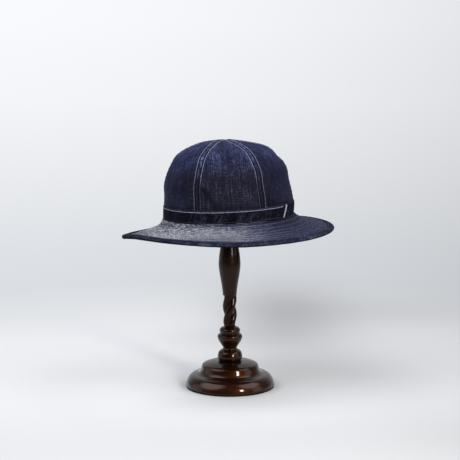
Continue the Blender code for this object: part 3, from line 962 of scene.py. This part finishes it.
def wood(name, axis, coat=0.75, gloss=0.12, coat_rough=0.07):
    """Stained, varnished wood whose grain runs along one axis."""
    material, tree, shader = new_material(name)
    place = place_node(tree)
    scales = []
    for across, along in (WOOD_PORES, WOOD_FIGURE):
        scale = [across] * 3
        scale[axis] = along
        scales.append(scale)
    pores = noise_node(place, scales[0], 3.0, 0.6)
    figure = noise_node(place, scales[1], 4.0, 0.55)
    set_inputs(
        shader,
        Base_Color=ramp_node(scaled(pores, 0.35, product(figure, 0.75)), WOOD_TONES),
        Normal=bump_node(pores, 0.12, 0.15 * MM),
        Roughness=scaled(figure, 0.3, 0.24),
        Specular_IOR_Level=gloss,
        Specular_Tint=(1.0, 0.24, 0.04, 1.0),
        Coat_Weight=coat,
        Coat_Roughness=coat_rough,
        Coat_IOR=1.35,
    )
    return material


def foot_shade_band():
    """A dark band round the stand's foot: painted contact shadow, with a fibrous bump."""
    material, tree, shader = new_material("foot_contact_shadow")
    fibres = noise_node(place_node(tree), [FOOT_SHADOW_FIBRES] * 3, 3.0, 0.6)
    normal = bump_node(fibres, 0.3, 0.2 * MM)
    tone = ramp_node(fibres, FOOT_SHADOW_TONES)
    set_inputs(shader, Base_Color=tone, Normal=normal, Roughness=0.95, Specular_IOR_Level=0.1)
    return material


def seam_relief(away, along, seed):
    """How far the cloth stands off its plain surface, this far away from a seam."""
    raised = SEAM_RAISE * smooth((SEAM_SPREAD - away) / SEAM_SOFT)
    roll = -SEAM_ROLL * bell(away, SEAM_ROLL_WIDTH)
    row = -ROW_DEPTH * bell(away - ROW_OFFSET, ROW_WIDTH)
    drift = 3.0 * np.sin(along / PUCKER_DRIFT + seed)
    pucker = PUCKER_DEPTH * np.sin(2.0 * np.pi * along / PUCKER_PITCH + drift)
    return raised + roll + row + pucker * bell(away, ROW_OFFSET)


def crease_depth_and_shade(degrees, rise):
    """Depth of the crown's soft creases, and the shade painted in them (painted light where below 0).
    """
    depth = np.zeros_like(rise)
    dark = np.zeros_like(rise)
    tall = CROWN_HEIGHT / MM
    for from_turn, from_rise, to_turn, to_rise, deep, wide, shade in CROWN_CREASES:
        x = turn_from(degrees, from_turn) * DEGREE_MM
        y = (rise - from_rise) * tall
        run = np.array([(to_turn - from_turn) * DEGREE_MM, (to_rise - from_rise) * tall])
        share = np.clip((x * run[0] + y * run[1]) / (run @ run), 0.0, 1.0)
        shape = bell(np.hypot(x - share * run[0], y - share * run[1]), wide)
        depth += deep * MM * shape
        dark += shade * shape
    return depth, dark


def crown_wear_light_and_shade(index, turn, rise, near_seam, near_tip, lumps, beads, dark):
    """How pale a panel's cloth looks: paler on its ridges from wear and near the top from wear and
    painted light, with painted shade in its folds, seam valleys and above the band and painted sheen
    at its sides; dark is the shade painted in the creases.
    """
    upper = step_between(rise, *STRIPE_PALE_RISES)
    fade = CROWN_TONE + PANEL_FADES[index] - CREASE_PAINTED_SHADE * dark + LUMP_TONE * lumps
    # paler towards the top: partly wear, partly painted light from above
    fade += TOP_WEAR_AND_LIGHT * step_between(rise, *TOP_WEAR_AND_LIGHT_RISES)
    for away, wide, pale, more in SEAM_STRIPES:
        fade += (pale + more * upper) * hump(near_seam, away * MM, wide * MM) * beads
    # painted shade in the valleys between each seam's ridge and its rows
    fade -= VALLEY_SHADE * hump(near_seam, VALLEY_AWAY, VALLEY_WIDTH) * near_tip
    # painted shadow on the crown just above the band
    fade -= CROWN_BAND_SHADOW * hump(rise * CROWN_HEIGHT, *CROWN_BAND_SHADOW_AT)
    # painted sheen: paler at the crown's sides, low down
    edgeward = np.abs(np.cos(np.radians(turn)))
    return fade + SIDE_SHEEN * edgeward**6 * step_between(rise, *SIDE_SHEEN_RISES)


def panel_grid(index):
    """One crown panel: its points, normals, distances from both seams, grain and tones."""
    start = SEAMS[index]
    end = SEAMS[(index + 1) % len(SEAMS)] + (360.0 if index == len(SEAMS) - 1 else 0.0)
    even = np.linspace(0.0, 1.0, PANEL_COLUMNS + 1)
    spread = 0.65 * (0.5 - 0.5 * np.cos(np.pi * even)) + 0.35 * even
    first = crown_step_at(CLEARANCE)
    last = len(CROWN_ROWS) - 1.004
    steps = first + (last - first) * np.linspace(0.0, 1.0, PANEL_ROWS) ** 0.9
    turn, step = np.meshgrid(start + (end - start) * spread, steps)
    plain = crown_face(turn, step)
    normals = grid_normals(plain, False)
    gaps = np.linalg.norm(np.diff(plain, axis=1), axis=2)
    across = np.concatenate([np.zeros((len(steps), 1)), np.cumsum(gaps, 1)], 1)
    climbs = np.linalg.norm(np.diff(plain, axis=0), axis=2).mean(1)
    climb = np.concatenate([[0.0], np.cumsum(climbs)])[:, None] + np.zeros_like(across)
    from_end = across[:, -1:] - across
    near_seam = np.minimum(across, from_end)
    near_tip = smooth(across[:, -1:] / TIP_EASE)
    rise = on_curve([row[0] for row in CROWN_ROWS], step)

    relief = np.zeros_like(across)
    for away, seed in ((across, float(index)), (from_end, float(index + 1) % len(SEAMS))):
        relief += seam_relief(away, climb, 1.7 * seed) * near_tip
    # dark is the shade painted in the creases
    deep, dark = crease_depth_and_shade(turn, rise)
    lumps = cloth_lumps(plain, CROWN_LUMPS)
    relief += WRINKLE * lumps * smooth(near_seam / (12.0 * MM)) * near_tip - deep
    points = plain + normals * relief[..., None]

    beads = smooth(0.4 + 1.5 * cloth_noise(plain, *WORN_BEADS))
    edgeward = np.abs(np.cos(np.radians(turn))) ** 3
    # bluer towards the top, and bluer at the crown's sides as painted sheen
    blue = np.clip(0.04 + 0.74 * step_between(rise, *BLUE_RISES) + 0.80 * edgeward, 0.0, 1.0)
    middle = across - across[:, -1:] / 2.0
    return {
        "points": points,
        "normals": grid_normals(points, False),
        "across": across,
        "from_end": from_end,
        "rise": rise,
        "grain": np.stack([middle + PANEL_GRAIN_STEP * index, climb], -1),
        "fade": crown_wear_light_and_shade(index, turn, rise, near_seam, near_tip, lumps, beads, dark),
        "blue": blue,
    }


def crown_panel(index, materials, place):
    grid = panel_grid(index)
    rows, columns = grid["points"].shape[:2]
    faces = grid_faces(rows, columns, False)
    corners = grid_corners(grid["grain"])
    name = f"crown_gore_{index + 1}"
    marks = {"fade": grid["fade"], "blue": grid["blue"]}
    piece = add_piece(name, grid["points"].reshape(-1, 3), faces, corners, materials, marks, place)
    wall = piece.modifiers.new("wall", "SOLIDIFY")
    wall.thickness = CROWN_WALL
    wall.offset = -1.0
    wall.material_offset = 1
    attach(piece, "root")
    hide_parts(f"crown_panel_{index + 1}")
    return grid


def seam_path(grid, key, shades):
    """The row of stitching at ROW_OFFSET from one seam of a panel, from the band up towards the top.

    shades are how pale the thread is at the foot and at the top.
    """
    away = grid[key]
    points, normals, shade = [], [], []
    for row in range(len(away)):
        width = away[row].max()
        rise = grid["rise"][row, 0]
        if width < 2.0 * ROW_OFFSET + 0.8 * MM or rise * CROWN_HEIGHT < BAND_HEIGHT - 2.5 * MM:
            continue
        order = slice(None) if key == "across" else slice(None, None, -1)
        distance = away[row][order]
        points.append(at_travel(ROW_OFFSET, distance, grid["points"][row, order]))
        normals.append(at_travel(ROW_OFFSET, distance, grid["normals"][row, order]))
        paler = float(step_between(rise, *THREAD_PALE_RISES))
        shade.append(shades[0] + (shades[1] - shades[0]) * paler)
    return np.array(points), unit(np.array(normals)), np.array(shade)


def build_crown(place):
    outside = denim("crown_denim_outside", CROWN_TONES, CROWN_WEAVE)
    inside = denim("crown_denim_inside", LINING_TONES, CROWN_WEAVE)
    grids = [crown_panel(index, (outside, inside), place) for index in range(len(SEAMS))]
    paths = []
    for index, grid in enumerate(grids):
        # seam thread darker towards the foot, most on the faint panel: partly soiling, partly painted
        # shade
        shades = (FAINT_THREAD if index == FAINT_PANEL else PLAIN_THREAD, PALE_THREAD)
        paths.append(seam_path(grid, "across", shades))
        paths.append(seam_path(grid, "from_end", shades))
    thread = thread_material("seam_thread", *SEAM_THREAD)
    stitch_piece("crown_stitches", paths, thread, place)
    tacks = []
    for spot in range(TACKS):
        turn = 2.0 * math.pi * spot / TACKS
        reach = np.array([math.cos(turn), math.sin(turn), 0.0]) * TACK_REACHES[spot % 3]
        ends = np.array([TACK_PLACE - reach, TACK_PLACE + reach])
        tacks.append((ends, np.array([[0.0, 0.0, 1.0]] * 2), np.full(2, TACK_SHADE)))
    stitch_piece("crown_top_tack", tacks, thread, place, TACK_STITCH)


def build_band(place):
    cloth = denim("band_denim_strip", BAND_TONES, CROWN_WEAVE, 0.008, 0.04)
    share = np.array(BAND_SHARES)
    start = BAND_END - BAND_LAP - 360.0
    along = np.linspace(0.0, 1.0, BAND_STATIONS + 1)
    turn = start + (band_end(share) - start) * along[:, None]
    height = CLEARANCE + (BAND_HEIGHT - CLEARANCE) * share
    faces = foot_face(turn, height, band_out(turn) - np.array(BAND_ROUNDING) * MM)
    backs = foot_face(turn, height, band_out(turn) - BAND_WALL)
    normals = np.swapaxes(grid_normals(np.swapaxes(faces, 0, 1), False), 0, 1)
    normals = np.where((normals * faces)[..., :2].sum(-1)[..., None] < 0.0, -normals, normals)
    ripples = cloth_noise(faces, *BAND_RIPPLES)
    relief = BAND_RIPPLE * ripples
    for _, row, depth, *_ in BAND_ROWS:
        relief -= depth * MM * bell(share * BAND_HEIGHT - row * MM, ROW_WIDTH)
    faces = faces + normals * relief[..., None]
    rings = np.concatenate([faces, backs[:, ::-1]], 1)
    up = np.concatenate([share, 2.0 - share, [2.1]]) * BAND_HEIGHT
    grain = np.stack(np.meshgrid(along * BAND_LENGTH, up, indexing="ij"), -1)
    fade = 0.5 + 0.25 * bell(up[:-1] - BAND_HEIGHT, 1.2 * MM)
    fade = fade + 0.04 * np.concatenate([ripples, ripples[:, ::-1]], 1)
    marks = {"fade": fade, "blue": np.full(fade.shape, 0.15)}
    piece = ring_piece("band_strip", rings, grain, [cloth], False, marks, place)
    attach(piece, "root")
    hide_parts("hat_band")

    shown = slice(int(BAND_STATIONS * BAND_STITCHES_FROM), -3)
    shades = np.full(BAND_STATIONS + 1, PALE_THREAD)[shown]
    for name, row, _, thread, colours, sizes in BAND_ROWS:
        spot = int(np.argmin(np.abs(share * BAND_HEIGHT - row * MM)))
        path = (faces[shown, spot], normals[shown, spot], shades)
        stitch_piece(name, [path], thread_material(thread, *colours), place, sizes)


def build_selvedge(place):
    """The pale edge along the band's slanted end."""
    spots = np.array(SELVEDGE_SHARES)
    out = band_out(BAND_END)
    rings = []
    for height in np.linspace(SELVEDGE_FOOT, SELVEDGE_TOP, SELVEDGE_LEVELS):
        middle = band_end(height / BAND_HEIGHT)
        ahead = foot_face(np.array([middle, middle + 1.0]), np.full(2, height), 0.0)
        degree = np.linalg.norm(ahead[1] - ahead[0])
        turn = middle + (0.1 * MM + SELVEDGE_WIDTH * spots) / degree
        high = np.full_like(turn, height)
        face = foot_face(turn, high, out - np.array(SELVEDGE_ROUNDING) * MM)
        back = foot_face(turn, high, out - BAND_WALL)
        rings.append(np.concatenate([face, back[::-1]]))
    rings = np.array(rings)
    across = np.arange(rings.shape[1] + 1) * 0.6 * MM
    up = np.linspace(0.0, BAND_HEIGHT, SELVEDGE_LEVELS)
    grain = np.stack(np.meshgrid(up, across, indexing="ij"), -1)[..., ::-1]
    piece = ring_piece("selvedge_edge", rings, grain, [selvedge_material()], False, None, place)
    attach(piece, "root")
    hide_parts("band_selvedge")


def brim_wear_and_sheen(points):
    """How pale the brim is, from wear and painted sheen: most at the front, with a slanting edge from
    the band to the rim.
    """
    x, y = points[..., 0] / MM, np.abs(points[..., 1]) / MM
    return smooth((PALE_FRONT_EDGE - PALE_FRONT_SLANT * y - x) / PALE_FRONT_SPREAD + PALE_FRONT_LEAD)


def brim_wear_light_and_shade(points, share, width, relief, lumps):
    """How pale the brim's upper side looks at each point, from wear and from painted sheen, light and
    shade.
    """
    x, y = points[..., 0] / MM, points[..., 1] / MM
    from_band = share * width / MM
    from_binding = ((1.0 - share) * width - BINDING_WIDTH) / MM
    # worn: the front's pallor, partly wear, partly painted sheen
    worn = brim_wear_and_sheen(points)
    fade = BRIM_TONE + BRIM_WEAR_AND_SHEEN * worn + BRIM_LUMP_TONE * lumps
    # painted shade on the brim beside the band's foot
    band_shadow = np.exp(-from_band / BRIM_BAND_SHADOW_REACH) * (0.45 + 0.55 * worn)
    fade -= BRIM_BAND_SHADOW * band_shadow * (1.0 - 0.60 * step_between(x, *FRONT_X))
    # painted shade on the brim towards the binding
    fade -= BRIM_EDGE_SHADE * bell(from_binding, BRIM_EDGE_SHADE_REACH) * step_between(x, *BRIM_EDGE_SHADE_X)
    # painted shadow of the crown on the brim's back, near the band
    fade -= BRIM_BACK_SHADOW * hump(x, *BRIM_BACK_SHADOW_X) * np.exp(-from_band / BRIM_BACK_SHADOW_REACH)
    fade -= DARK_AT_MIDDLE * hump(x, *MIDDLE_DARK_X)
    fade += PALE_PAST_MIDDLE * hump(x, *PAST_MIDDLE_X) * step_between(share, 0.35, 0.65)
    # painted light on the brim's far side
    fade += FAR_SIDE_LIGHT * step_between(x, *FAR_SIDE_X) * step_between(y, *FAR_SIDE_Y)
    # paler on the welts and darker in the rings' grooves: partly wear, partly painted shade
    welts = 1.0 + 2.0 * relief / RING_DEPTH
    return fade + PALE_ON_WELTS * welts * (0.25 + 0.75 * worn)


def brim_width(degrees):
    return np.linalg.norm(brim_face(degrees, 1.0) - brim_face(degrees, 0.0), axis=-1)


def binding_share(degrees):
    return 1.0 - BINDING_WIDTH / brim_width(degrees)


def build_brim(place):
    cloth = denim("brim_denim_sheet", BRIM_TONES, BRIM_WEAVE, 0.05)
    turns = np.linspace(0.0, 360.0, BRIM_STATIONS, endpoint=False)
    width = brim_width(turns)[:, None]
    last = binding_share(turns)[:, None] - 0.02
    rings_at = RING_FIRST + (last - RING_FIRST) * np.arange(RINGS) / (RINGS - 1.0)

    share = np.tile(np.linspace(0.0, 1.0, BRIM_TOP_POINTS), (BRIM_STATIONS, 1))
    top = brim_face(turns[:, None], share)
    normals = np.swapaxes(grid_normals(np.swapaxes(top, 0, 1), True), 0, 1)
    normals = np.where(normals[..., 2:3] < 0.0, -normals, normals)
    relief = np.zeros_like(share)
    for ring_at in rings_at.T:
        relief -= RING_DEPTH * bell((share - ring_at[:, None]) * width, RING_WIDTH)
    lumps = cloth_lumps(top, BRIM_LUMPS)
    puff = BRIM_PUFF * lumps * step_between(share, 0.0, 0.1) * step_between(share, 0.93, 0.83)
    upper = top + normals * (relief + puff)[..., None]
    pick = np.linspace(BRIM_TOP_POINTS - 1, 0, BRIM_UNDER_POINTS).round().astype(int)
    sunk = (puff - 0.8 * relief)[:, pick] - BRIM_WALL
    under = top[:, pick] + normals[:, pick] * sunk[..., None]
    lip_x, lip_y = oval(CROWN_FRONT, CROWN_BACK, CROWN_SIDE, OVAL_AT_FOOT, turns)
    inward = 1.0 - CROWN_WALL / np.hypot(lip_x, lip_y)
    lip_z = saddle(turns) - 0.2 * MM
    lip_top = np.stack([lip_x * inward, lip_y * inward, lip_z], -1)[:, None]
    lip_low = lip_top - np.array([0.0, 0.0, BRIM_WALL - 0.4 * MM])
    rings = np.concatenate([lip_top, upper, under, lip_low], 1)

    fade = np.full(rings.shape[:2], 0.25)
    fade[:, [0, -1]] = 0.2
    fade[:, 1 : BRIM_TOP_POINTS + 1] = brim_wear_light_and_shade(upper, share, width, relief, lumps)
    marks = {"fade": fade, "blue": 0.17 * (1.0 - brim_wear_and_sheen(rings)) ** 2}
    around = travel_along(looped(brim_face(turns, 0.5)))
    grain = np.stack(np.meshgrid(around, travel_along(looped(rings[0])), indexing="ij"), -1)
    piece = ring_piece("brim_sheet", rings, grain, [cloth], True, marks, place)
    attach(piece, "root")
    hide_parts("brim")

    top_paths, under_paths = [], []
    station = np.arange(BRIM_STATIONS)
    for ring in range(RINGS):
        spot = rings_at[:, ring] * (BRIM_TOP_POINTS - 1)
        low = np.floor(spot).astype(int)
        part = (spot - low)[:, None]
        where = upper[station, low] * (1 - part) + upper[station, low + 1] * part
        facing = unit(normals[station, low] * (1 - part) + normals[station, low + 1] * part)
        loop, ups = looped(where), looped(facing)
        # ring thread paler where the front is pale, partly wear, partly painted sheen
        more = EDGE_ROW_PALE if ring == RINGS - 1 else RING_ROW_PALE
        shade = RING_ROW_TONE + more * brim_wear_and_sheen(loop)
        top_paths.append((loop, ups, shade))
        below = loop - ups * (BRIM_WALL - 0.2 * MM)
        under_paths.append((below, -ups, np.full(len(loop), UNDER_ROW_TONE)))
    thread = thread_material("brim_thread", *BRIM_THREAD)
    stitch_piece("brim_stitches_top", top_paths, thread, place)
    stitch_piece("brim_stitches_under", under_paths, thread, place)


def binding_outline(nose, inner):
    """The strip's section: places outward from the brim's edge and up from the strip's middle.

    The last five of them lie inside the fold.
    """
    places = [(-BINDING_WIDTH, 0.55 * nose), (0.2 * MM - BINDING_WIDTH, 0.88 * nose)]
    places += [(-inset * MM, nose) for inset in (8.3, 7.2, 6.6, 6.0, 4.5, 3.0, 1.5, 0.5)]
    for angle in np.linspace(math.pi / 2.0, -math.pi / 2.0, 13):
        places.append((math.cos(angle) * nose, math.sin(angle) * nose))
    places += [(-inset * MM, -nose) for inset in (1.5, 3.0, 5.0, 7.0, 8.5)]
    places += [(-BINDING_WIDTH, -0.6 * nose), (-BINDING_WIDTH, -inner), (0.0, -inner)]
    places += [(inner, 0.0), (0.0, inner), (-BINDING_WIDTH, inner)]
    return np.array(places)


def build_binding(place):
    """The strip folded over the brim's edge: an upper flange, a rounded nose and a lower flange."""
    cloth = denim("binding_denim_strip", BINDING_TONES, CROWN_WEAVE, 0.012, 0.05)
    turns = np.linspace(0.0, 360.0, BRIM_STATIONS, endpoint=False)
    edge = brim_face(turns, 1.0)
    outward = unit(edge - brim_face(turns, binding_share(turns)))
    around = unit(np.roll(edge, -1, 0) - np.roll(edge, 1, 0))
    upward = unit(np.cross(outward, around))
    upward = np.where(upward[:, 2:3] < 0.0, -upward, upward)
    nose = BRIM_WALL / 2.0 + CLEARANCE + BINDING_WALL
    inner = nose - BINDING_WALL + 0.1 * MM
    thicker = THICK_FRONT * bell(turns - THICK_AT, THICK_WIDTH)
    middle = edge - upward * (BRIM_WALL / 2.0 - 0.5 * nose * thicker[:, None])
    outline = binding_outline(nose, inner)
    outer = len(outline) - 5
    lift = outline[None, :, 1:] * (1.0 + thicker[:, None, None])
    reach = outward[:, None] * outline[None, :, :1] + upward[:, None] * lift
    rings = middle[:, None] + reach
    lumps = cloth_noise(rings[:, :outer], *BINDING_LUMPS)
    rings[:, :outer] += unit(reach[:, :outer]) * (BINDING_LUMP * lumps)[..., None]
    row = -BINDING_ROW_DEPTH * bell(outline[:, 0] + BINDING_WIDTH - BINDING_ROW, ROW_WIDTH)
    row[outline[:, 1] < inner + 0.01 * MM] = 0.0
    rings += upward[:, None] * row[None, :, None]

    near_side = 1.0 - np.maximum(0.0, np.sin(np.radians(turns))) ** 0.5
    back = smooth(np.cos(np.radians(turns)) / 0.6)
    # painted shade on the binding's far side and on its thick front
    tone = BINDING_TONE - BINDING_FAR_SHADE * (1.0 - near_side) - BINDING_THICK_SHADE * thicker
    tone += BINDING_BACK_PALE * back * near_side
    # painted shade on the binding's lower half
    fade = tone[:, None] - BINDING_UNDER_SHADE * smooth(0.5 - outline[:, 1] / nose)
    worn = bell(outline[:, 0] - nose * 0.7, 1.2 * MM) * (outline[:, 1] > 0.0)
    fade += BINDING_EDGE_WORN * worn * (near_side * (1.0 - 0.5 * back))[:, None]
    fade[:, :outer] += 0.10 * lumps
    along, section = travel_along(looped(edge)), travel_along(looped(outline))
    u, v = np.meshgrid(along, section, indexing="ij")
    grain = np.stack([0.7 * (u + v), 0.7 * (v - u)], -1)
    piece = ring_piece("binding_strip", rings, grain, [cloth], True, {"fade": fade}, place)
    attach(piece, "root")
    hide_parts("brim_binding")

    spot = int(np.argmin(np.abs(outline[:outer, 0] + BINDING_WIDTH - BINDING_ROW)))
    loop = looped(rings[:, spot])
    path = (loop, looped(upward), np.full(len(loop), 0.5))
    thread = thread_material("binding_thread", *BINDING_THREAD)
    stitch_piece("binding_stitches", [path], thread, place, BINDING_STITCH)


def dense_outline(profile, radius, height, each):
    """A profile as points in metres, with the slight waves that the turning tool left."""
    profile = np.array(profile)
    place = np.linspace(0.0, len(profile) - 1.0, (len(profile) - 1) * each + 1)
    reach = on_curve(profile[:, 0], place) * radius
    rise = on_curve(profile[:, 1], place) * height
    outline = np.stack([reach, rise], -1)
    travel = travel_along(outline)
    waves = sum(share * np.sin(travel / length + start) for length, share, start in TOOL_WAVES)
    outline[1:-1, 0] += TOOL_WAVE * waves[1:-1]
    return outline


def lathe(name, outline, foot, material, node):
    """A turned piece from its outline, top to bottom, with closed ends."""
    tip = 0.2 * MM
    outline = np.concatenate([[[tip, outline[0, 1]]], outline, [[tip, outline[-1, 1]]]])
    turn = np.linspace(0.0, 2.0 * np.pi, LATHE_STATIONS, endpoint=False)[:, None]
    x = np.cos(turn) * outline[:, 0]
    y = np.sin(turn) * outline[:, 0]
    z = np.broadcast_to(foot + outline[:, 1], x.shape)
    return turned(name, np.stack([x, y, z], -1), material, node)


def turned(name, rings, material, node):
    """A piece from stations round the axis, each running down it, with a small cap at each end."""
    stations, along = rings.shape[:2]
    faces = [list(face)[::-1] for face in grid_faces(along, stations, True)]
    faces.append(list(range(stations))[::-1])
    faces.append([(along - 1) * stations + spot for spot in range(stations)])
    corners = np.zeros((sum(len(face) for face in faces), 2))
    piece = add_piece(name, np.swapaxes(rings, 0, 1).reshape(-1, 3), faces, corners, [material])
    piece.data.set_sharp_from_angle(angle=math.radians(50.0))
    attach(piece, "root")
    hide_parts(node)
    return piece


def twist_rings(low, high):
    share = np.linspace(1.0, 0.0, TWIST_LEVELS)[None, :]
    angle = np.linspace(0.0, 2.0 * np.pi, TWIST_STATIONS, endpoint=False)[:, None]
    fade = np.sin(np.pi * share) ** 0.35
    turn = math.radians(TWIST_START) + 2.0 * np.pi * TWIST_TURNS * share
    groove = 1.0 - np.abs(np.cos(TWIST_STARTS * (angle - turn) / 2.0))
    pinch = TWIST_FOOT_PINCH + (TWIST_TOP_PINCH - TWIST_FOOT_PINCH) * share
    radius = TWIST_RADIUS - TWIST_GROOVE * (groove * fade + pinch * (1.0 - fade))
    z = np.broadcast_to(low + (high - low) * share, radius.shape)
    return np.stack([radius * np.cos(angle), radius * np.sin(angle), z], -1)


def build_stand(nodes):
    upright = wood("turned_wood_upright", 2, 0.75, 0.12, 0.11)
    stem = wood("turned_wood_stem", 2, 0.66, 0.10, 0.22)
    flat = wood("turned_wood_flat", 0, 0.90, 0.20)
    touch = CLEARANCE - 0.02 * MM
    for node, profile, material, each in (
        ("stand_base", BASE_PROFILE, flat, 6),
        ("stand_knobs", KNOBS_PROFILE, upright, 6),
        ("stand_stem", STEM_PROFILE, stem, 10),
    ):
        low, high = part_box(node)
        outline = dense_outline(profile, high.x, high.z - low.z, each)
        if node != "stand_base":
            outline[-1, 1] -= touch
        piece = lathe(node.replace("stand_", "turned_"), outline, low.z, material, node)
        if node == "stand_base":
            # the base's lowest faces take the painted contact shadow
            piece.data.materials.append(foot_shade_band())
            for face in piece.data.polygons:
                if face.center.z < FOOT_SHADOW_HEIGHT:
                    face.material_index = 1
    low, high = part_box("stand_twist")
    twisted = wood("turned_wood_twisted", 2, 0.45)
    turned("turned_twist", twist_rings(low.z - touch, high.z), twisted, "stand_twist")
    nodes["stand_head"].material_slots[0].link = "OBJECT"
    nodes["stand_head"].material_slots[0].material = upright


def soft_spot(place, centre, width):
    """1 at a place on the floor, falling softly to 0 round it."""
    tree = place.id_data
    spot = tree.nodes.new("ShaderNodeMapping")
    start = (-centre[0] / width[0], -centre[1] / width[1], 0.0)
    set_inputs(spot, Vector=place, Location=start, Scale=(1.0 / width[0], 1.0 / width[1], 0.0))
    away = vector_node(tree, "LENGTH", spot.outputs[0]).outputs["Value"]
    return math_node("EXPONENT", product(product(away, away), -1.0))


def build_floor():
    """A wide pale floor that passes behind the stand into a glowing backdrop, darker to the right."""
    material, tree, shader = new_material("studio_floor")
    place = place_node(tree)
    parts = split_node(place)
    far = vector_node(tree, "LENGTH", place).outputs["Value"]

    sideways = math_node("DIVIDE", parts["X"], math_node("ADD", far, 2.0))
    off_centre = math_node("SUBTRACT", sideways, FLOOR_MIDDLE)
    shade = scaled(sideways, -FLOOR_TILT, FLOOR_LEVEL)
    shade = scaled(product(off_centre, off_centre), -FLOOR_BOW, shade)
    shade = product(shade, step_node(parts["Y"], *FLOOR_EDGE))
    for centre, width, depth in FLOOR_SHADES:
        shade = product(shade, scaled(soft_spot(place, centre, width), -depth, 1.0))

    reach = math_node("LOGARITHM", math_node("ADD", far, 1.0), math.e)
    tone = ramp_node(math_node("DIVIDE", reach, 4.0), FLOOR_TONES)
    backdrop = vector_node(tree, "SCALE", tone)
    set_inputs(backdrop, Scale=shade)
    emission = tree.nodes.new("ShaderNodeEmission")
    set_inputs(emission, Color=backdrop.outputs[0])

    for value, step in ((parts["Y"], FLOOR_FRONT), (far, FLOOR_CLOSE), (far, FLOOR_CONTACT)):
        shade = product(shade, step_node(value, *step))
    near = vector_node(tree, "SCALE", FLOOR_COLOUR)
    set_inputs(near, Scale=shade)
    set_inputs(shader, Base_Color=near.outputs[0], Roughness=0.9, Specular_IOR_Level=0.1)
    mix = tree.nodes.new("ShaderNodeMixShader")
    surfaces = (step_node(far, *FLOOR_GLOW), shader.outputs[0], emission.outputs[0])
    for socket, value in zip(mix.inputs, surfaces):
        feed(socket, value)
    set_inputs(tree.nodes["Material Output"], Surface=mix.outputs[0])

    mesh = bpy.data.meshes.new("floor")
    ticks = np.linspace(-FLOOR_SIZE, FLOOR_SIZE, 9)
    x, y = np.meshgrid(ticks, ticks)
    points = np.stack([x, y, np.zeros_like(x)], -1).reshape(-1, 3)
    faces = grid_faces(len(ticks), len(ticks), False)
    mesh.from_pydata(points.tolist(), [], faces.tolist())
    mesh.materials.append(material)
    floor = bpy.data.objects.new("floor", mesh)
    bpy.context.scene.collection.objects.link(floor)


def build_world():
    """A studio room: soft light overhead and on the left, a pale wall behind, dark by the camera."""
    world = bpy.data.worlds.new("studio")
    world.use_nodes = True
    tree = world.node_tree
    direction = tree.nodes.new("ShaderNodeTexCoord").outputs["Generated"]
    strength = ROOM_DIM
    for aim, (start, full), power in ROOM_LIGHTS:
        dot = vector_node(tree, "DOT_PRODUCT", direction)
        feed(dot.inputs[1], Vector(aim).normalized())
        patch = step_node(dot.outputs["Value"], start, full, 0.0, power)
        strength = math_node("ADD", patch, strength)
    set_inputs(tree.nodes["Background"], Color=ROOM_COLOUR, Strength=strength)
    bpy.context.scene.world = world


def build_lights():
    """Soft panels of light. One without glint lights the surfaces but doesn't show in their gloss."""
    for name, place, size, watts, colour, glint in LAMPS:
        lamp = bpy.data.lights.new(name, "AREA")
        lamp.shape = "RECTANGLE"
        lamp.size, lamp.size_y = size
        lamp.energy = watts
        lamp.color = colour
        light = bpy.data.objects.new(name, lamp)
        light.location = place
        light.rotation_mode = "QUATERNION"
        light.rotation_quaternion = (Vector(LAMP_AIM) - Vector(place)).to_track_quat("-Z", "Y")
        light.visible_glossy = glint
        bpy.context.scene.collection.objects.link(light)


def build_camera():
    """The photograph's view: a long lens from the hat's left side, a little above it."""
    place = Vector(CAMERA_PLACE)
    view = (Vector(CAMERA_AIM) - place).to_track_quat("-Z", "Y").to_matrix().to_4x4()
    roll = Matrix.Rotation(math.radians(-CAMERA_ROLL), 4, "Z")
    data = bpy.data.cameras.new("camera")
    data.sensor_width = SENSOR_WIDTH
    data.lens = CAMERA_PIXELS / FRAME_PIXELS * SENSOR_WIDTH
    camera = bpy.data.objects.new("camera", data)
    camera.matrix_world = Matrix.Translation(place) @ view @ roll
    bpy.context.scene.collection.objects.link(camera)
    bpy.context.scene.camera = camera


def main():
    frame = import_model()
    build_camera()
    build_world()
    build_lights()
    build_floor()
    place = hat_matrix()
    build_crown(place)
    build_band(place)
    build_selvedge(place)
    build_brim(place)
    build_binding(place)
    build_stand(frame["nodes"])
    bpy.context.scene.view_settings.view_transform = "Standard"


main()
